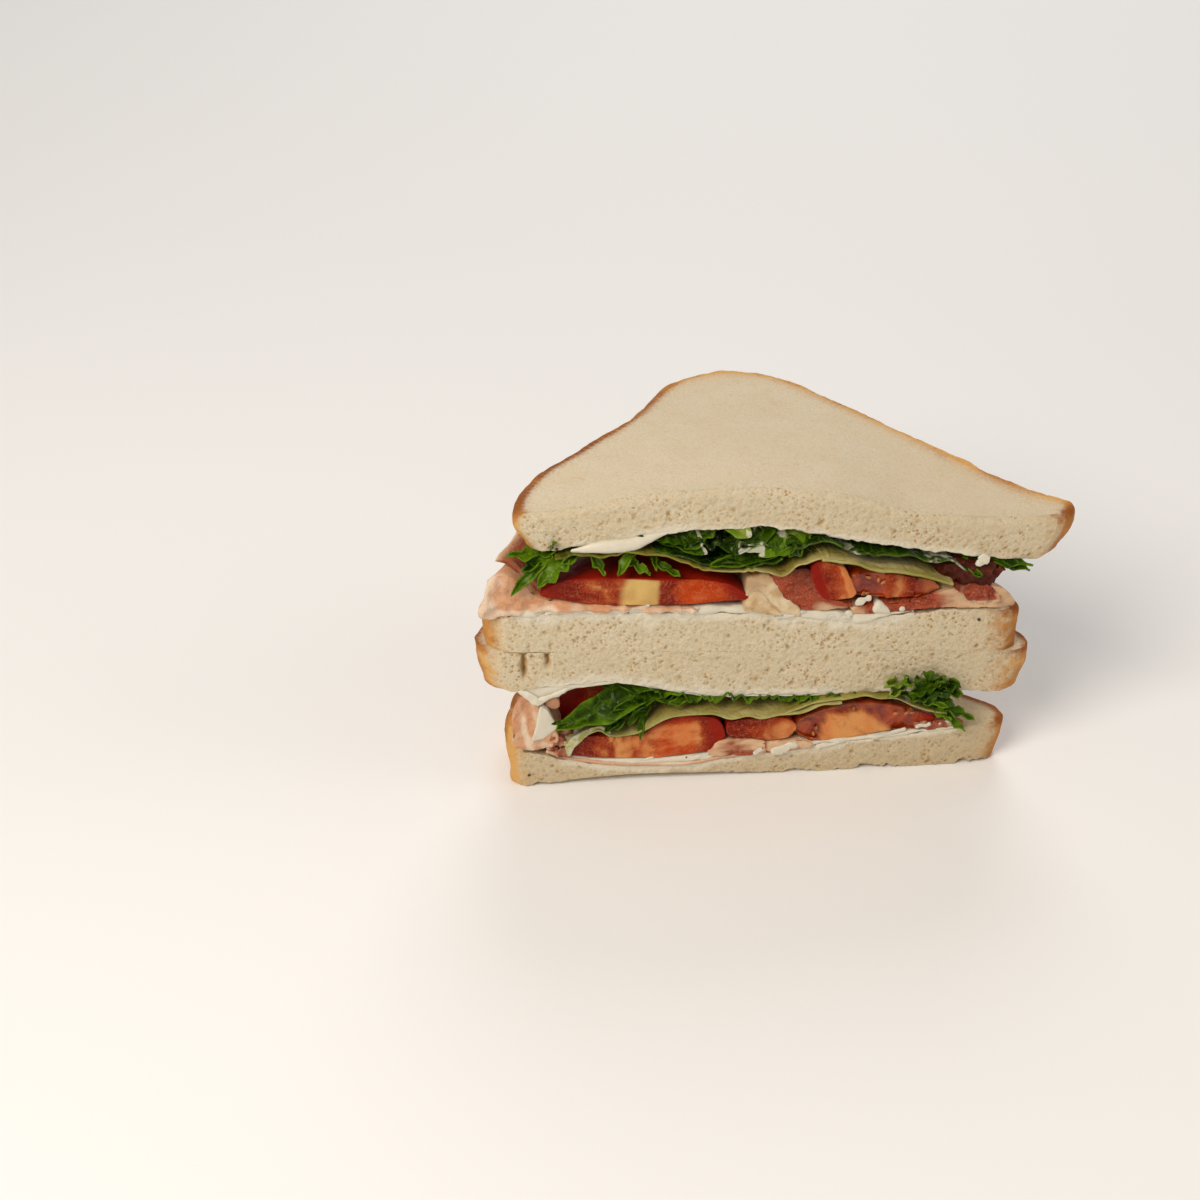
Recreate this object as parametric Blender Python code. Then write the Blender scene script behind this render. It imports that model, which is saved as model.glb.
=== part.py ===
"""Half of a double-decker bacon, lettuce and tomato sandwich, cut corner to corner.

Four slices of white tin bread hold two decks of filling.  Plan positions are given in
millimetres on the cut: x runs along the cut to the right, y runs from the cut face back
to the loaf's corner, z is up.  ORIGIN moves that frame to the middle of the footprint.

Every surface that lies across the sandwich is a height profile, a few (x, z) stations
read along the cut.  It bends by that profile at the cut face and eases back to the
straight line between its ends at the loaf's corner, where no filling lifts the bread.
A filling's profiles are turned into shares of its deck's height, so neighbours keep
their order at every depth.
"""

import math

import bmesh
import bpy
import numpy as np

MM = 0.001

# ---------------------------------------------------------------- driving dimensions (mm)
ORIGIN = (49.7, 40.2)          # plan position of the part's origin on the cut
SLICE_LENGTH = 160.0           # corner-to-corner cut through one slice
SLICE_DEPTH = 84.5             # from the cut back to the loaf's rounded corner
CORNER_AT = (37.0, 16.0)       # depth where a squarer left corner stands out most, and its spread
RIM = 1.6                      # rounding of a slice's crust edges
CONTACT_GAP = 0.15             # half of the gap between two slices of bread
FILLING_GAP = 0.35             # half of the gap between two fillings
PROFILE_SOFTNESS = 4.0         # spacing of the samples that round a profile's corners
FILM = 1.5                     # thickness of spread mayonnaise
SKIM = 0.5                     # extra room between bread and what is spread on it
ARCH_DEPTH = 14.0              # how far back the hollow under the bottom slice reaches

# Crust of one slice in plan, from the left end of the cut round to its right end.
CRUST = (
    (0, 0), (1, 9), (5, 18), (11, 26), (20, 33.5), (28, 41), (34, 47), (39, 54), (44, 64),
    (51, 75), (60, 82), (70, 84.5), (82, 82.5), (92, 75), (103, 62), (130, 36.5),
    (150, 17), (157, 9), (160, 0),
)
CRUST_STEPS = 2                # points on each stretch of crust between two of those
CUT_POINTS = 20                # points along the straight cut

# Surfaces of the bread at the cut face.
TOP_UPPER = ((-24, 96), (-5, 97), (12, 100), (30, 101.2), (47, 101), (65, 98), (82, 93.5),
             (100, 89.5), (118, 87.3), (136, 88))
TOP_LOWER = ((-21, 83.5), (-10, 84.2), (0, 85.5), (20, 88), (30, 89), (50, 88.5), (60, 86),
             (80, 81), (100, 77), (115, 74.5), (130, 73))
MIDDLE_UPPER = ((-36, 62.5), (-10, 62.5), (20, 61), (40, 60), (60, 57.5), (75, 54.5),
                (90, 57), (115, 57), (124, 55))
MIDDLE_SEAM = ((-36, 50.5), (124, 41.5))
MIDDLE_LOWER = ((-34, 34), (-23, 36), (5, 37.5), (20, 33.5), (30, 30.5), (60, 29),
                (80, 28.8), (110, 28), (125, 26))
BOTTOM_UPPER = ((-28, 15), (-20, 12), (-12, 9.8), (0, 7), (12, 5.8), (25, 5.5), (35, 7),
                (60, 9.5), (80, 11), (100, 13), (122, 15))
BOTTOM_ARCH = ((-24, 0), (-14, 1), (0, 2.8), (20, 2.5), (35, 1.8), (50, 0.8), (65, 0))

# Colours are linear RGB.
BREAD = ("white_bread", (0.62, 0.50, 0.33), 0.85)
HAM = ("cured_ham", (0.66, 0.30, 0.18), 0.45)
BACON = ("bacon", (0.42, 0.11, 0.06), 0.42)
TURKEY = ("roast_turkey", (0.72, 0.55, 0.34), 0.5)
TOMATO = ("tomato", (0.42, 0.06, 0.02), 0.22)
LETTUCE = ("green_lettuce", (0.07, 0.15, 0.02), 0.4)
PALE_LEAF = ("pale_lettuce_rib", (0.38, 0.40, 0.14), 0.38)
MAYONNAISE = ("mayonnaise", (0.80, 0.76, 0.60), 0.3)


# ---------------------------------------------------------------- heights
def along(profile, x):
    """Height of a profile at x, its corners rounded by averaging nearby samples."""
    xs, zs = np.array(profile, dtype=float).T
    offsets = PROFILE_SOFTNESS * np.arange(-2, 3)
    return sum(np.interp(x + step, xs, zs) for step in offsets) / len(offsets)


def height(profile, x, y):
    """Height of a bread surface: its profile at the cut, a straight line at the corner."""
    xs, zs = np.array(profile, dtype=float).T
    line = np.interp(x, (xs[0], xs[-1]), (zs[0], zs[-1]))
    depth = np.clip(y / SLICE_DEPTH, 0.0, 1.0)
    bend = 1.0 - depth * depth * (3.0 - 2.0 * depth)
    return line + (along(profile, x) - line) * bend


def underside(x, y):
    """Base of the bottom slice: flat, with a shallow hollow along the cut."""
    fade = np.clip(1.0 - y / ARCH_DEPTH, 0.0, 1.0) ** 2
    return along(BOTTOM_ARCH, x) * fade


def surface(profile, offset):
    """A function of plan position that gives a bread surface moved up by offset."""
    return lambda x, y: height(profile, x, y) + offset


def deck_surface(profile, floor, ceiling, offset):
    """Height inside a deck, at the profile's share of the deck's height at the cut."""
    def at(x, y):
        low, high = along(floor, x), along(ceiling, x)
        share = (along(profile, x) - low) / (high - low)
        low, high = height(floor, x, y), height(ceiling, x, y)
        return low + share * (high - low) + offset
    return at


# ---------------------------------------------------------------- plan shapes
def smooth_run(points, steps):
    """Points along a Catmull-Rom curve through the given ones, ends included."""
    knots = np.array(points, dtype=float)
    padded = np.vstack((2 * knots[0] - knots[1], knots, 2 * knots[-1] - knots[-2]))
    t = (np.arange(steps) / steps)[:, None]
    run = []
    for a, b, c, d in zip(padded, padded[1:], padded[2:], padded[3:]):
        run.append(0.5 * (2 * b + (c - a) * t + (2 * a - 5 * b + 4 * c - d) * t ** 2
                          + (3 * b - a - 3 * c + d) * t ** 3))
    return np.vstack(run + [knots[-1:]])


def slice_outline(start, length, square_left):
    """Crust line of a slice that starts at x = start, its left corner made squarer."""
    crust = smooth_run(CRUST, CRUST_STEPS)
    u, v = crust.T
    push = square_left * np.exp(-((v - CORNER_AT[0]) / CORNER_AT[1]) ** 2) * (u < 60) * (v > 0)
    return np.column_stack((start + u * length / SLICE_LENGTH - push, v))


def inset_ring(crust, distance):
    """Closed ring round a slice: the crust line moved in by distance, then the cut."""
    tangent = np.gradient(crust, axis=0)
    tangent /= np.linalg.norm(tangent, axis=1)[:, None]
    inward = np.column_stack((tangent[:, 1], -tangent[:, 0]))
    inward[0], inward[-1] = (1, 0), (-1, 0)
    edge = crust + inward * distance
    edge[:, 1] = np.maximum(edge[:, 1], 0.0)
    back = np.linspace(edge[-1], edge[0], CUT_POINTS + 2)[1:-1]
    return np.vstack((edge, back))


# ---------------------------------------------------------------- solids
def new_object(name, bm, finish, collection):
    """Turn a bmesh in millimetres on the cut into a named object of the part."""
    plan_shift = np.array((ORIGIN[0], ORIGIN[1], 0.0))
    for vert in bm.verts:
        vert.co = (np.array(vert.co) - plan_shift) * MM
    bmesh.ops.triangulate(bm, faces=bm.faces)
    bmesh.ops.recalc_face_normals(bm, faces=bm.faces)
    mesh = bpy.data.meshes.new(name)
    bm.to_mesh(mesh)
    bm.free()
    mesh.shade_smooth()
    mesh.set_sharp_from_angle(angle=math.radians(35))
    mesh.materials.append(material(*finish))
    obj = bpy.data.objects.new(name, mesh)
    collection.objects.link(obj)
    return obj


def material(name, colour, roughness):
    """Principled material shared by the pieces of one food."""
    found = bpy.data.materials.get(name)
    if found:
        return found
    mat = bpy.data.materials.new(name)
    mat.use_nodes = True
    shader = mat.node_tree.nodes["Principled BSDF"]
    shader.inputs["Base Color"].default_value = (*colour, 1.0)
    shader.inputs["Roughness"].default_value = roughness
    shader.inputs["Metallic"].default_value = 0.0
    return mat


def bread_slice(name, start, length, square_left, lower, upper, taper, collection):
    """A slice lofted from its underside, round the crust, to its upper face."""
    crust = slice_outline(start, length, square_left)
    middle = np.array((start + 0.47 * length, 0.36 * SLICE_DEPTH))
    loft = (                   # inset of the crust, share of the way to the middle, height
        (taper + RIM, 0.66, 0.0), (taper + RIM, 0.38, 0.0), (taper + RIM, 0.17, 0.0),
        (taper + RIM, 0.0, 0.0), (taper * 0.7, 0.0, 0.22), (0.0, 0.0, 0.74),
        (RIM, 0.0, 1.0), (RIM, 0.17, 1.0), (RIM, 0.38, 1.0), (RIM, 0.66, 1.0),
    )
    bm = bmesh.new()
    rings = []
    for inset, inward, rise in loft:
        ring = inset_ring(crust, inset)
        ring = ring + (middle - ring) * inward
        x, y = ring.T
        low, high = lower(x, y), upper(x, y)
        z = low + (high - low) * rise
        rings.append([bm.verts.new(point) for point in zip(x, y, z)])
    for under, over in zip(rings, rings[1:]):
        for i in range(len(under)):
            j = (i + 1) % len(under)
            bm.faces.new((under[i], under[j], over[j], over[i]))
    for ring, face in ((rings[0], lower), (rings[-1], upper)):
        centre = bm.verts.new((*middle, float(face(*middle))))
        for i, vert in enumerate(ring):
            bm.faces.new((vert, ring[(i + 1) % len(ring)], centre))
    return new_object(name, bm, BREAD, collection)


def filling(name, span, depth, lower, upper, finish, collection, deck,
            front=0.0, lean=0.0, power=2.6, columns=10, rows=4, behind=0.0, bulge=0.4):
    """A filling between two profiles of its deck.

    In plan it is the front part of a superellipse: straight along the cut over span,
    rounded at the back at depth, sheared by lean, and standing front ahead of the cut.
    """
    floor, ceiling = deck
    low = deck_surface(lower, floor, ceiling, FILLING_GAP)
    high = deck_surface(upper, floor, ceiling, -FILLING_GAP)
    centre, half = 0.5 * (span[0] + span[1]), 0.5 * (span[1] - span[0])
    u = np.linspace(-1.0, 1.0, columns)
    v = np.linspace(0.0, 0.94, rows) ** 0.8
    bm = bmesh.new()
    layers = []
    for rise, swell in ((0.0, 0.0), (0.5, bulge), (1.0, 0.0)):
        width = (1.0 - v ** power) ** (1.0 / power)
        y = behind - front + (depth + front) * v
        x = centre + np.outer(width * (half + swell), u) + lean * np.maximum(y, 0)[:, None]
        y = np.repeat(y[:, None], columns, axis=1)
        bottom, top = low(x, y), high(x, y)
        z = bottom + (top - bottom) * rise
        grid = [[bm.verts.new((x[r, c], y[r, c], z[r, c])) for c in range(columns)]
                for r in range(rows)]
        layers.append(grid)
    for grid in (layers[0], layers[-1]):
        for r in range(rows - 1):
            for c in range(columns - 1):
                bm.faces.new((grid[r][c], grid[r][c + 1], grid[r + 1][c + 1],
                              grid[r + 1][c]))
    border = ([(0, c) for c in range(columns)]
              + [(r, columns - 1) for r in range(1, rows)]
              + [(rows - 1, c) for c in range(columns - 2, -1, -1)]
              + [(r, 0) for r in range(rows - 2, 0, -1)])
    for under, over in zip(layers, layers[1:]):
        for (r, c), (s, d) in zip(border, border[1:] + border[:1]):
            bm.faces.new((under[r][c], under[s][d], over[s][d], over[r][c]))
    spare = [v for row in layers[1][1:-1] for v in row[1:-1]]
    bmesh.ops.delete(bm, geom=spare, context="VERTS")
    return new_object(name, bm, finish, collection)


def raised(profile, amount):
    """The same profile, higher by amount."""
    return tuple((x, z + amount) for x, z in profile)


# ---------------------------------------------------------------- the sandwich
def build_bread(collection):
    """Four slices, from the bottom up."""
    bread_slice("bread_bottom", -28, 150, 12.5, underside,
                surface(BOTTOM_UPPER, 0), 3.5, collection)
    bread_slice("bread_lower_middle", -37, 165, 0, surface(MIDDLE_LOWER, 0),
                surface(MIDDLE_SEAM, -CONTACT_GAP), 2.5, collection)
    bread_slice("bread_upper_middle", -36, 160, 0, surface(MIDDLE_SEAM, CONTACT_GAP),
                surface(MIDDLE_UPPER, 0), 0.5, collection)
    bread_slice("bread_top", -24, 160, 0, surface(TOP_LOWER, 0),
                surface(TOP_UPPER, 0), 4.0, collection)


def build_lower_deck(collection):
    """Ham and mayonnaise, tomato and bacon, then lettuce, on the bottom slice."""
    deck = (BOTTOM_UPPER, MIDDLE_LOWER)
    ham_top = raised(BOTTOM_UPPER, 1.9)
    spread_base = tuple((x, z + 1.9 * (x < 50)) for x, z in BOTTOM_UPPER)
    spread_top = ((-15, 12.9), (0, 10.6), (10, 9.6), (25, 9.5), (35, 10.4), (60, 11.6),
                  (80, 13), (112, 15.8))
    spread_under = raised(MIDDLE_LOWER, -FILM)

    def add(*args, **options):
        filling(*args, collection, deck, **options)

    add("ham_lower_base", (-11, 30), 72, raised(BOTTOM_UPPER, SKIM), ham_top, HAM,
        lean=0.35, rows=6)
    add("mayonnaise_lower_base", (-9, 112), 64, spread_base, spread_top, MAYONNAISE,
        lean=-0.15, columns=15, rows=5)
    add("ham_lower_left", (-27.5, -16.4), 24, BOTTOM_UPPER,
        ((-27, 27), (-24, 32.5), (-18, 33), (-13, 31)), HAM, columns=6, bulge=0.8)
    add("tomato_lower_left", (-10, 37), 40, spread_top,
        ((-10, 14.5), (-5, 17.5), (5, 19), (15, 21.2), (22, 23.6), (30, 23.8), (37, 22)),
        TOMATO, power=2.0, bulge=0.9)
    add("tomato_lower_back", (-17, 1), 26, ((-17, 20.4), (-6, 22.4), (5, 24.6)),
        ((-17, 30), (-8, 31), (1, 31)), TOMATO, behind=17, lean=0.15, columns=7, power=2.0)
    add("bacon_lower_middle", (38, 66), 46, spread_top,
        ((38, 14.2), (46, 14.4), (58, 14.2), (66, 13.4)), BACON, lean=-0.1)
    tomato_base = ((38, 14.4), (58, 14.4), (64, 13.8), (70, 13.4), (85, 14.4), (92, 15.4),
                   (100, 18.2))
    add("tomato_lower_right", (38.6, 100), 36, tomato_base,
        ((38, 21), (45, 22), (58, 21.8), (62, 22.2), (70, 24.2), (78, 26), (85, 25.6),
         (95, 22.6), (100, 20.4)), TOMATO, power=2.0, columns=13, bulge=0.9)
    add("bacon_lower_right", (97, 112), 20, spread_top,
        ((90, 15), (96, 16), (101, 17.8), (108, 19), (112, 17.8)), BACON, lean=-0.2,
        columns=7)
    pale_base = ((-12, 15.4), (-5, 18.4), (5, 20), (15, 22), (22, 24.4), (30, 24.5),
                 (37, 23.2), (58, 22.8), (66, 24), (72, 25.2))
    pale_top = ((-12, 18.2), (-5, 21), (5, 22.6), (15, 24.8), (22, 26.2), (32, 26.2),
                (60, 25.9), (72, 26.6))
    add("leaf_lower_pale", (-12, 70), 68, pale_base, pale_top, PALE_LEAF, lean=0.08,
        columns=15, rows=5, front=1.5)
    add("leaf_lower_dark", (-14.5, 33), 15.5, pale_top,
        ((-15, 26), (-5, 31.5), (5, 34.5), (15, 33), (25, 30), (35, 28.2)), LETTUCE,
        lean=0.2, front=3.0, columns=12)
    thin_base = ((36, 26.5), (60, 26.3), (75, 26.5), (80, 26.7), (85, 26.4), (95, 23.6),
                 (100, 21.1), (107, 19.6))
    thin_top = ((36, 28.2), (60, 27.7), (75, 27.8), (82, 28), (88, 27.2), (95, 25.2),
                (100, 22.8), (107, 21.2))
    add("leaf_lower_thin", (40, 106), 54, thin_base, thin_top, LETTUCE, lean=-0.1,
        columns=14, bulge=0.2)
    add("lettuce_lower_right", (89, 112), 24, thin_top, raised(MIDDLE_LOWER, -0.5),
        LETTUCE, lean=-0.3, front=4.0, columns=8)
    add("mayonnaise_lower", (-16, 68), 56, spread_under, raised(MIDDLE_LOWER, -SKIM),
        MAYONNAISE, columns=15, rows=6, bulge=0.0)


def build_upper_deck(collection):
    """Ham, bacon and turkey, tomato, then lettuce and mayonnaise, under the top slice."""
    deck = (MIDDLE_UPPER, TOP_LOWER)
    spread_top = raised(MIDDLE_UPPER, 2.2)

    def add(*args, **options):
        filling(*args, collection, deck, **options)

    add("mayonnaise_upper_base", (-24, 106), 58, raised(MIDDLE_UPPER, SKIM), spread_top,
        MAYONNAISE, lean=-0.1, columns=15, rows=6, bulge=0.0)
    ham_top = ((-35, 67), (-33, 71), (-29, 75), (-22, 74), (-18, 69), (-14, 67.2),
               (0, 66), (27, 65), (43, 64.6))
    add("ham_upper_left", (-33.5, 27), 72, spread_top, ham_top, HAM, lean=0.5,
        columns=14, rows=6, front=2.0, bulge=0.6)
    add("bacon_upper_left", (-34, -21.6), 30, raised(ham_top, 0.6),
        ((-30, 80), (-22, 82), (-8, 82)), BACON, behind=13, lean=0.45, columns=7)
    add("tomato_upper_left", (-16, 43), 30, raised(ham_top, 0.2),
        ((-17, 71), (-12, 74), (0, 76.4), (12, 76.4), (28, 74), (36, 71.4), (43, 67.6)),
        TOMATO, power=2.0, columns=12, bulge=0.9)
    turkey_top = ((41, 64.6), (45, 69), (50, 70.6), (55, 67.8), (60, 62.8), (65, 60.4),
                  (75, 57.6))
    add("turkey_upper", (45, 62), 30, spread_top, turkey_top, TURKEY, lean=-0.05,
        columns=9)
    middle_top = ((46, 72.2), (56, 72), (60, 70.6), (64, 66.2), (68, 63.4), (75, 61.4))
    add("bacon_upper_middle", (53, 72), 48, raised(turkey_top, 0.4), middle_top, BACON,
        lean=-0.25)
    right_top = ((66, 61.2), (92, 62.2), (97, 64.4), (102, 65.6), (110, 66), (118, 64),
                 (122, 62))
    add("bacon_upper_right", (75, 120.5), 38, spread_top, right_top, BACON, lean=-0.3,
        columns=12)
    add("tomato_upper_right", (61.5, 97), 38,
        ((54, 72.8), (60, 72.4), (64, 67.4), (68, 64.6), (75, 62.6), (92, 62.8),
         (98, 65.4)),
        ((54, 76.8), (61, 76.6), (70, 76), (76, 72.6), (92, 69), (98, 67.4)), TOMATO,
        power=2.0, bulge=0.6)
    add("bacon_upper_end", (105, 118), 16, right_top,
        ((98, 67), (102, 68.4), (106, 70), (112, 70.6), (118, 68)), BACON, lean=-0.3,
        columns=7)
    leaf_base = ((-6, 78.4), (10, 78.8), (20, 77), (30, 75.4), (40, 74), (53, 73.4),
                 (58, 74.8), (62, 77.4), (67, 78.4))
    leaf_top = ((-6, 80.8), (10, 81.2), (20, 79.6), (30, 77.8), (40, 76.6), (53, 75.8),
                (58, 77.4), (62, 79.6), (67, 80.4))
    add("leaf_upper_left", (-4, 64.5), 74, leaf_base, leaf_top, PALE_LEAF, lean=0.05,
        columns=14, rows=6, front=1.5)
    add("lettuce_upper_left", (-27, -5.5), 11, ((-27, 77.6), (-18, 77), (-5, 78.2)),
        ((-27, 81.4), (-18, 82.4), (-5, 82.8)), LETTUCE, columns=8, front=3.0)
    spread_under = ((-10, 82.8), (0, 83.4), (10, 84.4), (20, 86.2), (30, 87.4), (50, 86.8),
                    (60, 84.2), (80, 79.4), (100, 75.4))
    add("lettuce_upper_middle", (18, 61), 70, raised(leaf_top, 0.2),
        raised(spread_under, -0.2), LETTUCE, lean=0.0, columns=12, rows=5, front=1.5)
    pale_top = ((67, 80.2), (72, 79), (76, 76.4), (92, 72), (98, 70.6), (103, 70))
    add("leaf_upper_pale", (68, 102.5), 26,
        ((67, 77.8), (71, 76.9), (76, 74.3), (92, 69.9), (98, 68.6), (103, 67.6)),
        pale_top, PALE_LEAF, lean=-0.15, front=1.5)
    add("leaf_upper_right", (65, 106), 40,
        ((58, 82), (70, 80.4), (80, 77), (100, 72.8), (106, 72)),
        ((58, 84), (70, 82.3), (80, 79.1), (100, 75.1), (106, 74.2)), LETTUCE,
        lean=-0.2, columns=12, front=1.0)
    add("lettuce_upper_right", (109, 125), 14, ((106, 71.8), (118, 70.2), (126, 69.6)),
        ((106, 74.2), (118, 73.2), (126, 72.8)), LETTUCE, lean=-0.5, columns=8, front=2.0)
    add("mayonnaise_upper", (-8, 98), 58, spread_under, raised(TOP_LOWER, -SKIM),
        MAYONNAISE, columns=15, rows=6, bulge=0.0)


def clear_scene():
    """Remove whatever objects the scene holds."""
    for obj in list(bpy.data.objects):
        bpy.data.objects.remove(obj, do_unlink=True)


def main():
    clear_scene()
    collection = bpy.data.collections.new("blt_sandwich_half")
    bpy.context.scene.collection.children.link(collection)
    build_bread(collection)
    build_lower_deck(collection)
    build_upper_deck(collection)


main()
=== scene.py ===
"""Half of a double-decker bacon, lettuce and tomato sandwich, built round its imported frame."""

import functools
import math

import bpy
import numpy as np
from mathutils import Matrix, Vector


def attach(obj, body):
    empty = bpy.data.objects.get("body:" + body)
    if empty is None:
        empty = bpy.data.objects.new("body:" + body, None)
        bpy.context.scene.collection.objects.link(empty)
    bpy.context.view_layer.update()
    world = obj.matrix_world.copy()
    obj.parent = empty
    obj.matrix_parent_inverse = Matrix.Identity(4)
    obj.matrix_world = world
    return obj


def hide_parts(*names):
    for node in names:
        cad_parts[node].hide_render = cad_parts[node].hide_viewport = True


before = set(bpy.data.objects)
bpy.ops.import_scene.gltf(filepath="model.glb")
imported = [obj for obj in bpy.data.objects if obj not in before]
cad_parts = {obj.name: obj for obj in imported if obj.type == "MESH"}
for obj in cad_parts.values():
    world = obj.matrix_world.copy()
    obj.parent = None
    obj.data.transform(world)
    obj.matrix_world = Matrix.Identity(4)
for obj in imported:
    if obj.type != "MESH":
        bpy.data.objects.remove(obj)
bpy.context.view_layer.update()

bl_info = {
    "name": "BLT sandwich half",
    "version": (1, 0, 0),
    "blender": (4, 5, 0),
    "location": "3D View > Sidebar > Sandwich",
    "description": "Detailed bread, meats, tomato, lettuce and mayonnaise round a sandwich frame",
    "category": "Add Mesh",
}

# Every length below is in millimetres on the cut: x runs along the cut to the right, y from
# the cut face back to the loaf's corner, z up.  MIDDLE moves that to the frame's own place.
MM = 0.001
SLICE_DEPTH = 84.5             # from the cut back to the loaf's rounded corner
MIDDLE = np.array((49.7, 40.2, 0.0))

# The seeds that cloud and bubbles are given are any whole numbers, one for each effect.


# ------------------------------------------------------------------ numbers and noise
def linear(code):
    """A colour written as six sRGB hex digits, as linear red, green, blue and alpha."""
    srgb = np.array([int(code[i:i + 2], 16) for i in (0, 2, 4)]) / 255.0
    rgb = np.where(srgb <= 0.04045, srgb / 12.92, ((srgb + 0.055) / 1.055) ** 2.4)
    return (*rgb.tolist(), 1.0)


def ease(start, end, value):
    """Smooth step from 0 at start to 1 at end: 3t^2 - 2t^3 of the share t of the way."""
    t = np.clip((value - start) / (end - start), 0.0, 1.0)
    return t * t * (3.0 - 2.0 * t)


def bell(value, centre, spread):
    """Bell curve of height 1: exp of minus the squared distance over spread."""
    return np.exp(-((value - centre) / spread) ** 2)


def xyz(x, y, z):
    """Points from their three coordinates, arrays or numbers."""
    return np.stack(np.broadcast_arrays(x, y, z), axis=-1)


def curve(stations, at, slack=1.0):
    """Heights at x from (x, z) stations: straight runs averaged over a window of slack mm."""
    xs, zs = np.array(stations, dtype=float).T
    shifts = np.linspace(-2.0, 2.0, 5) * slack
    return sum(np.interp(at + shift, xs, zs) for shift in shifts) / len(shifts)


def through(points, count):
    """A Catmull-Rom curve through the points, read at count places evenly along its length."""
    knots = np.array(points, dtype=float)
    padded = np.vstack((2 * knots[0] - knots[1], knots, 2 * knots[-1] - knots[-2]))
    t = np.linspace(0.0, 1.0, 24, endpoint=False)[:, None]
    runs = [0.5 * (2 * b + (c - a) * t + (2 * a - 5 * b + 4 * c - d) * t ** 2
                   + (3 * b - a - 3 * c + d) * t ** 3)
            for a, b, c, d in zip(padded, padded[1:], padded[2:], padded[3:])]
    line = np.vstack(runs + [knots[-1:]])
    length = np.append(0.0, np.cumsum(np.linalg.norm(np.diff(line, axis=0), axis=1)))
    want = np.linspace(0.0, length[-1], count)
    return np.column_stack([np.interp(want, length, column) for column in line.T])


def share(cell, seed):
    """A repeatable random number from 0 to 1 for each whole-number cell (..., 3)."""
    mixed = (cell[..., 0] * 374761393 + cell[..., 1] * 668265263
             + cell[..., 2] * 1103515245 + seed * 974634777) & 0xFFFFFFFF
    mixed = ((mixed ^ (mixed >> 13)) * 1274126177) & 0xFFFFFFFF
    mixed = ((mixed ^ (mixed >> 16)) * 668265263) & 0xFFFFFFFF
    return ((mixed >> 7) & 0xFFFFFF) / 0xFFFFFF


def cloud(p, size, seed=0, octaves=2):
    """Smooth noise from -1 to 1: random values on a lattice of size mm, eased between its
    corners, plus octaves of half the size and half the weight."""
    p = np.asarray(p, dtype=float)
    total, norm = 0.0, 0.0
    for octave in range(octaves):
        q = p / size * 2.0 ** octave + 17.3 * octave
        cell = np.floor(q).astype(np.int64)
        f = q - cell
        f = f * f * f * (f * (f * 6.0 - 15.0) + 10.0)
        value = 0.0
        for corner in np.ndindex(2, 2, 2):
            step = np.array(corner)
            weight = np.prod(np.where(step, f, 1.0 - f), axis=-1)
            value = value + weight * share(cell + step, seed + octave)
        total = total + (2.0 * value - 1.0) * 0.5 ** octave
        norm += 0.5 ** octave
    return total / norm


def shift(p, size, seed, octaves=2):
    """A smooth random shift for each point: three noises, for x, y and z."""
    return np.stack([cloud(p, size, seed + k, octaves) for k in range(3)], axis=-1)


def bubbles(p, size, small, large, seed):
    """Depth in mm below the surface of round bubbles: one in each cell of size mm, at a random
    place, its radius between small and large and mostly near small."""
    q = np.asarray(p, dtype=float) / size
    home = np.floor(q).astype(np.int64)
    depth = np.zeros(q.shape[:-1])
    for step in np.ndindex(3, 3, 3):
        cell = home + np.array(step) - 1
        centre = cell + np.stack([share(cell, seed + k) for k in range(3)], axis=-1)
        radius = small + (large - small) * share(cell, seed + 3) ** 3
        gap = np.sum(((q - centre) * size) ** 2, axis=-1)
        depth = np.maximum(depth, np.sqrt(np.maximum(radius ** 2 - gap, 0.0)))
    return depth


def normals(grid, wrap):
    """Unit normals of a grid (rows, columns, 3): columns' direction crossed with rows'."""
    if wrap:
        across = np.roll(grid, -1, axis=1) - np.roll(grid, 1, axis=1)
    else:
        across = np.gradient(grid, axis=1)
    up = np.gradient(grid, axis=0)
    n = np.cross(across, up)
    return n / np.maximum(np.linalg.norm(n, axis=-1, keepdims=True), 1e-9)


def push(grid, amount, wrap=True):
    """A grid's points moved along its normals by an amount in mm."""
    return grid + normals(grid, wrap) * amount[..., None]


def roughen(grid, size, amount, seed, wrap=True):
    """A grid's points pushed by noise of the given size and amount in mm."""
    return push(grid, cloud(grid, size, seed) * amount, wrap)


def finish_piece(name, points, faces, marks, material, nodes):
    """Make the object: its points in mm become metres in the frame, marks become attributes,
    and it rides on the root body and stands for its nodes."""
    mesh = bpy.data.meshes.new(name)
    mesh.from_pydata(((points - MIDDLE) * MM).tolist(), [], faces)
    for mark, values in marks.items():
        layer = mesh.attributes.new(mark, "FLOAT", "POINT")
        layer.data.foreach_set("value", np.asarray(values, dtype=np.float32).ravel())
    mesh.shade_smooth()
    mesh.materials.append(material)
    obj = bpy.data.objects.new(name, mesh)
    bpy.context.scene.collection.objects.link(obj)
    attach(obj, "root")
    if nodes:
        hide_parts(*nodes.split())
    return obj


def grid_faces(rows, columns, wrap, first=0):
    """Quads between the rows of a grid of vertices numbered row by row from first."""
    index = first + np.arange(rows * columns).reshape(rows, columns)
    right = np.roll(index, -1, axis=1) if wrap else index[:, 1:]
    left = index if wrap else index[:, :-1]
    quads = np.stack((left[:-1], right[:-1], right[1:], left[1:]), axis=-1)
    return quads.reshape(-1, 4)


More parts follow.
